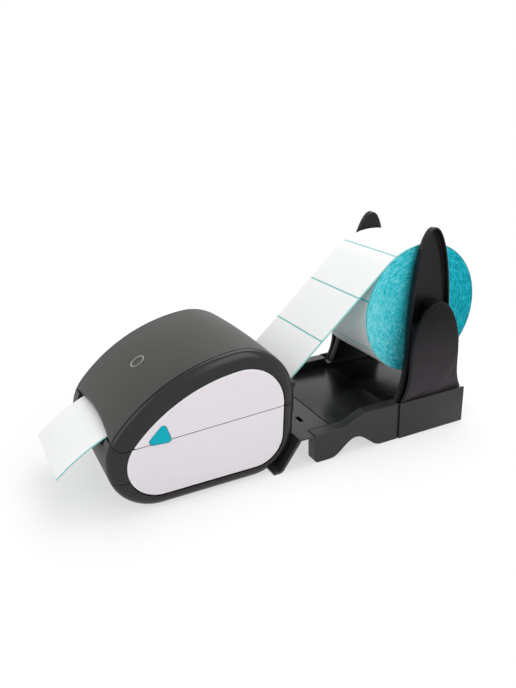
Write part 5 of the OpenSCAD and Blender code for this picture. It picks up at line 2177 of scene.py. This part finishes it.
    def ear(self, side: Side) -> None:
        """A tall ear: a leaning channel with a rounded wall round a recessed face.

        Each step names a ring's depth into the channel, its inset and how far its foot is raised.

        Args:
            side: The side of the machine.
        """
        w, d = self.ear_wall, self.ear_d
        steps = (
            (0.0, 1.0, 0.0), (0.3, 0.3, 0.0), (1.0, 0.0, 0.0), (d - 0.8, 0.0, 0.0), (d - 0.25, 0.22, 0.0),
            (d, 0.8, 0.0), (d, w - 0.5, 0.0), (d - 0.5, w, w), (w + 0.5, w, w), (w, w + 0.6, w),
        )
        c, s = math.cos(self.ear_lean), math.sin(self.ear_lean)
        tall = self.ear_top - self.floor_z
        rings = []
        for x, inset, raised in steps:
            edge = self.ear_edge(self.foot_z - self.ear_sunk + raised, inset)
            mid = self.roll[0] - self.ear_fore + self.ear_back * (edge[:, 1] - self.floor_z) / tall
            up = edge[:, 1] - self.foot_z
            lean_x = self.ear_in + x * c - up * s
            lean_z = np.maximum(self.foot_z + x * s + up * c, self.foot_z)
            rings.append(np.stack([lean_x, mid + edge[:, 0], lean_z], 1))
        part = flip(carry(np.array(rings)), side)
        obj = make_object(f"upright_{side.tag}_ear", [part], self.upright_sharp)
        settle(obj, f"upright_{side.tag}", EAR_SHADED, [f"ear_{side.tag}"])

    def fin_width(self, z: Array) -> Array:
        """Half width of a fin: half an ellipse over its belly, a cubic flare below it.

        Args:
            z: Heights.

        Returns:
            The half width at each height.
        """
        over = np.clip((z - self.fin_belly) / (self.fin_top - self.fin_belly), 0.0, 1.0)
        under = np.maximum(self.fin_belly - z, 0.0) / (self.fin_belly - self.floor_z)
        return self.fin_half * np.sqrt(1 - over**2) + self.fin_flare * under**3

    def beyond_leaf(self, y: Array, z: Array) -> Array:
        """Distance outside the round leaf on a fin's face, which slanted lines close above and in front.

        Args:
            y: Places along the machine.
            z: Heights.

        Returns:
            Distances in millimetres, below zero on the leaf.
        """
        cy, cz = self.roll[0] - self.leaf_set, self.leaf_z
        above, before = self.leaf_slants
        disc = np.hypot(y - cy, np.minimum(z - cz, 0.0)) - self.leaf_r
        line = y - cy - self.leaf_r - above * np.maximum(z - cz, 0.0)
        front = (cz - self.leaf_r - z) + before * (y - cy)
        low = np.where(y < cy, front, disc)
        return np.where(z < cz, low, line)

    def fin(self, side: Side) -> None:
        """An outer fin: level sections of a round-edged, almost flat face that steps back beyond its leaf.

        Args:
            side: The side of the machine.
        """
        mid, end = self.roll[0] - self.fin_fore, self.block_y[1] - self.seam_gap
        tall, r = self.fin_top - self.fin_belly, self.fin_edge
        z = np.concatenate([
            np.linspace(self.foot_z, self.fin_belly, 60)[:-1],
            self.fin_belly + tall * np.sin(np.linspace(0, self.fin_tip * math.pi / 2, 70)),
        ])[:, None]
        t = np.sin(np.linspace(-math.pi / 2, math.pi / 2, 101))[None]
        w = self.fin_width(z)
        y = mid + t * np.where(t > 0, np.minimum(w, end - mid), w)
        lean = np.gradient(w[:, 0], z[:, 0])[:, None]
        near = np.minimum((1 - np.abs(t)) * w / np.hypot(1.0, lean), r)
        bevel = r - np.sqrt(r**2 - (r - near) ** 2)
        out = self.beyond_leaf(y, z)
        step = self.leaf_step * np.clip(out / self.leaf_edge, 0.0, 1.0)
        fall = self.leaf_fall * np.maximum(out, 0.0)
        x = self.fin_out - bevel - self.fin_crown * t**2 - (step + fall)
        face = np.stack([x, y, np.broadcast_to(z, y.shape)], -1)
        back = face.copy()
        back[..., 0] = self.fin_out - self.fin_d
        part = flip(carry(np.concatenate([face, back[:, ::-1]], 1)), side)
        obj = make_object(f"upright_{side.tag}_fin", [part], self.upright_sharp)
        settle(obj, f"upright_{side.tag}", FIN_PAINTED_LIGHT, [f"fin_{side.tag}"])


@dataclass(frozen=True)
class Lamp:
    """A softbox that points at a target."""

    name: str
    place: Triple
    size: float
    power: float
    target: Triple = (0.0, 0.0, 0.1)

    def hang(self) -> None:
        """Makes the lamp, turned so that its back lies away from the target."""
        data = bpy.data.lights.new(self.name, "AREA")
        data.size = self.size
        data.energy = self.power
        lamp = bpy.data.objects.new(self.name, data)
        bpy.context.scene.collection.objects.link(lamp)
        back = np.array(self.place) - np.array(self.target)
        back /= np.linalg.norm(back)
        side = np.cross((0.0, 0.0, 1.0), back)
        side /= np.linalg.norm(side)
        turn = Matrix(np.stack([side, np.cross(back, side), back], 1).tolist()).to_4x4()
        lamp.matrix_world = Matrix.Translation(self.place) @ turn


@dataclass
class Studio:
    """Camera, floor and light."""

    eye: Triple = (0.632412, -0.315119, 0.390521)
    right: Triple = (0.4449, 0.8950, -0.0316)
    up: Triple = (-0.3128, 0.1883, 0.9310)
    ahead: Triple = (-0.8392, 0.4043, -0.3638)
    lens: float = 34.97
    sensor: float = 36.0
    clip: Pair = (0.01, 20.0)
    lamps: tuple[Lamp, ...] = (
        Lamp("softbox_top", (-0.3, 0.55, 1.5), 1.5, 18.3),
        Lamp("softbox_side", (1.3, 0.5, 0.9), 0.9, 5.5),
        Lamp("softbox_front", (0.3, -1.5, 1.0), 1.2, 6.2),
    )
    ambient: float = 0.45
    floor_half: float = 6000.0
    floor_z: Pair = (-4.0, -0.2)
    floor_grey: Colour = (0.95, 0.95, 0.95)
    floor_rough: float = 0.9
    glow: Pair = (0.6, 1.0)
    glow_reach: Pair = (0.3, 0.75)

    def camera(self) -> None:
        """Sets the camera at the photograph's viewing angle."""
        data = bpy.data.cameras.new("camera")
        data.lens = self.lens
        data.sensor_width = self.sensor
        data.clip_start, data.clip_end = self.clip
        cam = bpy.data.objects.new("camera", data)
        bpy.context.scene.collection.objects.link(cam)
        turn = np.stack([self.right, self.up, -np.array(self.ahead)], 1)
        cam.matrix_world = Matrix.Translation(self.eye) @ Matrix(turn.tolist()).to_4x4()
        bpy.context.scene.camera = cam

    def light(self) -> None:
        """Hangs the lamps and sets a pale world that is white where it is seen."""
        for lamp in self.lamps:
            lamp.hang()
        world = bpy.data.worlds.new("studio")
        bpy.context.scene.world = world
        world.use_nodes = True
        w = Wiring(world.node_tree)
        pale = w.tree.nodes["Background"]
        w.wire(pale.inputs["Color"], WHITE)
        w.wire(pale.inputs["Strength"], self.ambient)
        white = w.add("ShaderNodeBackground", Color=WHITE, Strength=1.0)
        w.show("World Output", w.seen(), pale.outputs[0], white.outputs[0])

    def floor(self) -> None:
        """Lays a plain pale floor that shows only the object's soft shadow."""
        half, (low, high) = self.floor_half, self.floor_z
        floor = make_object("studio_floor", [block((-half, -half, low), (half, half, high))])
        w = Weave("studio_white")
        w.dress(Base_Color=self.floor_grey, Roughness=self.floor_rough)
        reach = w.add("ShaderNodeVectorMath", Vector=w.place)
        reach.operation = "LENGTH"
        fade = w.span(reach.outputs["Value"], *self.glow, *self.glow_reach)
        glow = w.add("ShaderNodeEmission", Color=WHITE, Strength=1.0)
        share = w.math("MULTIPLY", fade, w.seen())
        w.show("Material Output", share, w.shader.outputs[0], glow.outputs[0])
        floor.data.materials.append(w.material)


def dress_frame(nodes: dict[str, Object]) -> None:
    """Gives each frame node that still shows its finish.

    Args:
        nodes: The frame's objects by node name.
    """
    for finish, names in CAD_FINISHES.items():
        for mesh in (nodes[name].data for name in names):
            mesh.materials.clear()
            mesh.materials.append(finish.material())


def main() -> None:
    """Builds the scene: camera, printer, paper, stand, finishes and light."""
    logging.basicConfig(level=logging.INFO, format="%(message)s")
    bpy.ops.wm.read_factory_settings(use_empty=True)
    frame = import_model()
    studio = Studio()
    studio.camera()
    for part in (Cover(), Base(), Springs(), LabelPath(), LabelRoll(), Stand()):
        part.build()
    dress_frame(frame["nodes"])
    studio.light()
    studio.floor()
    bpy.context.scene.view_settings.view_transform = "Standard"


if __name__ == "__main__":
    main()
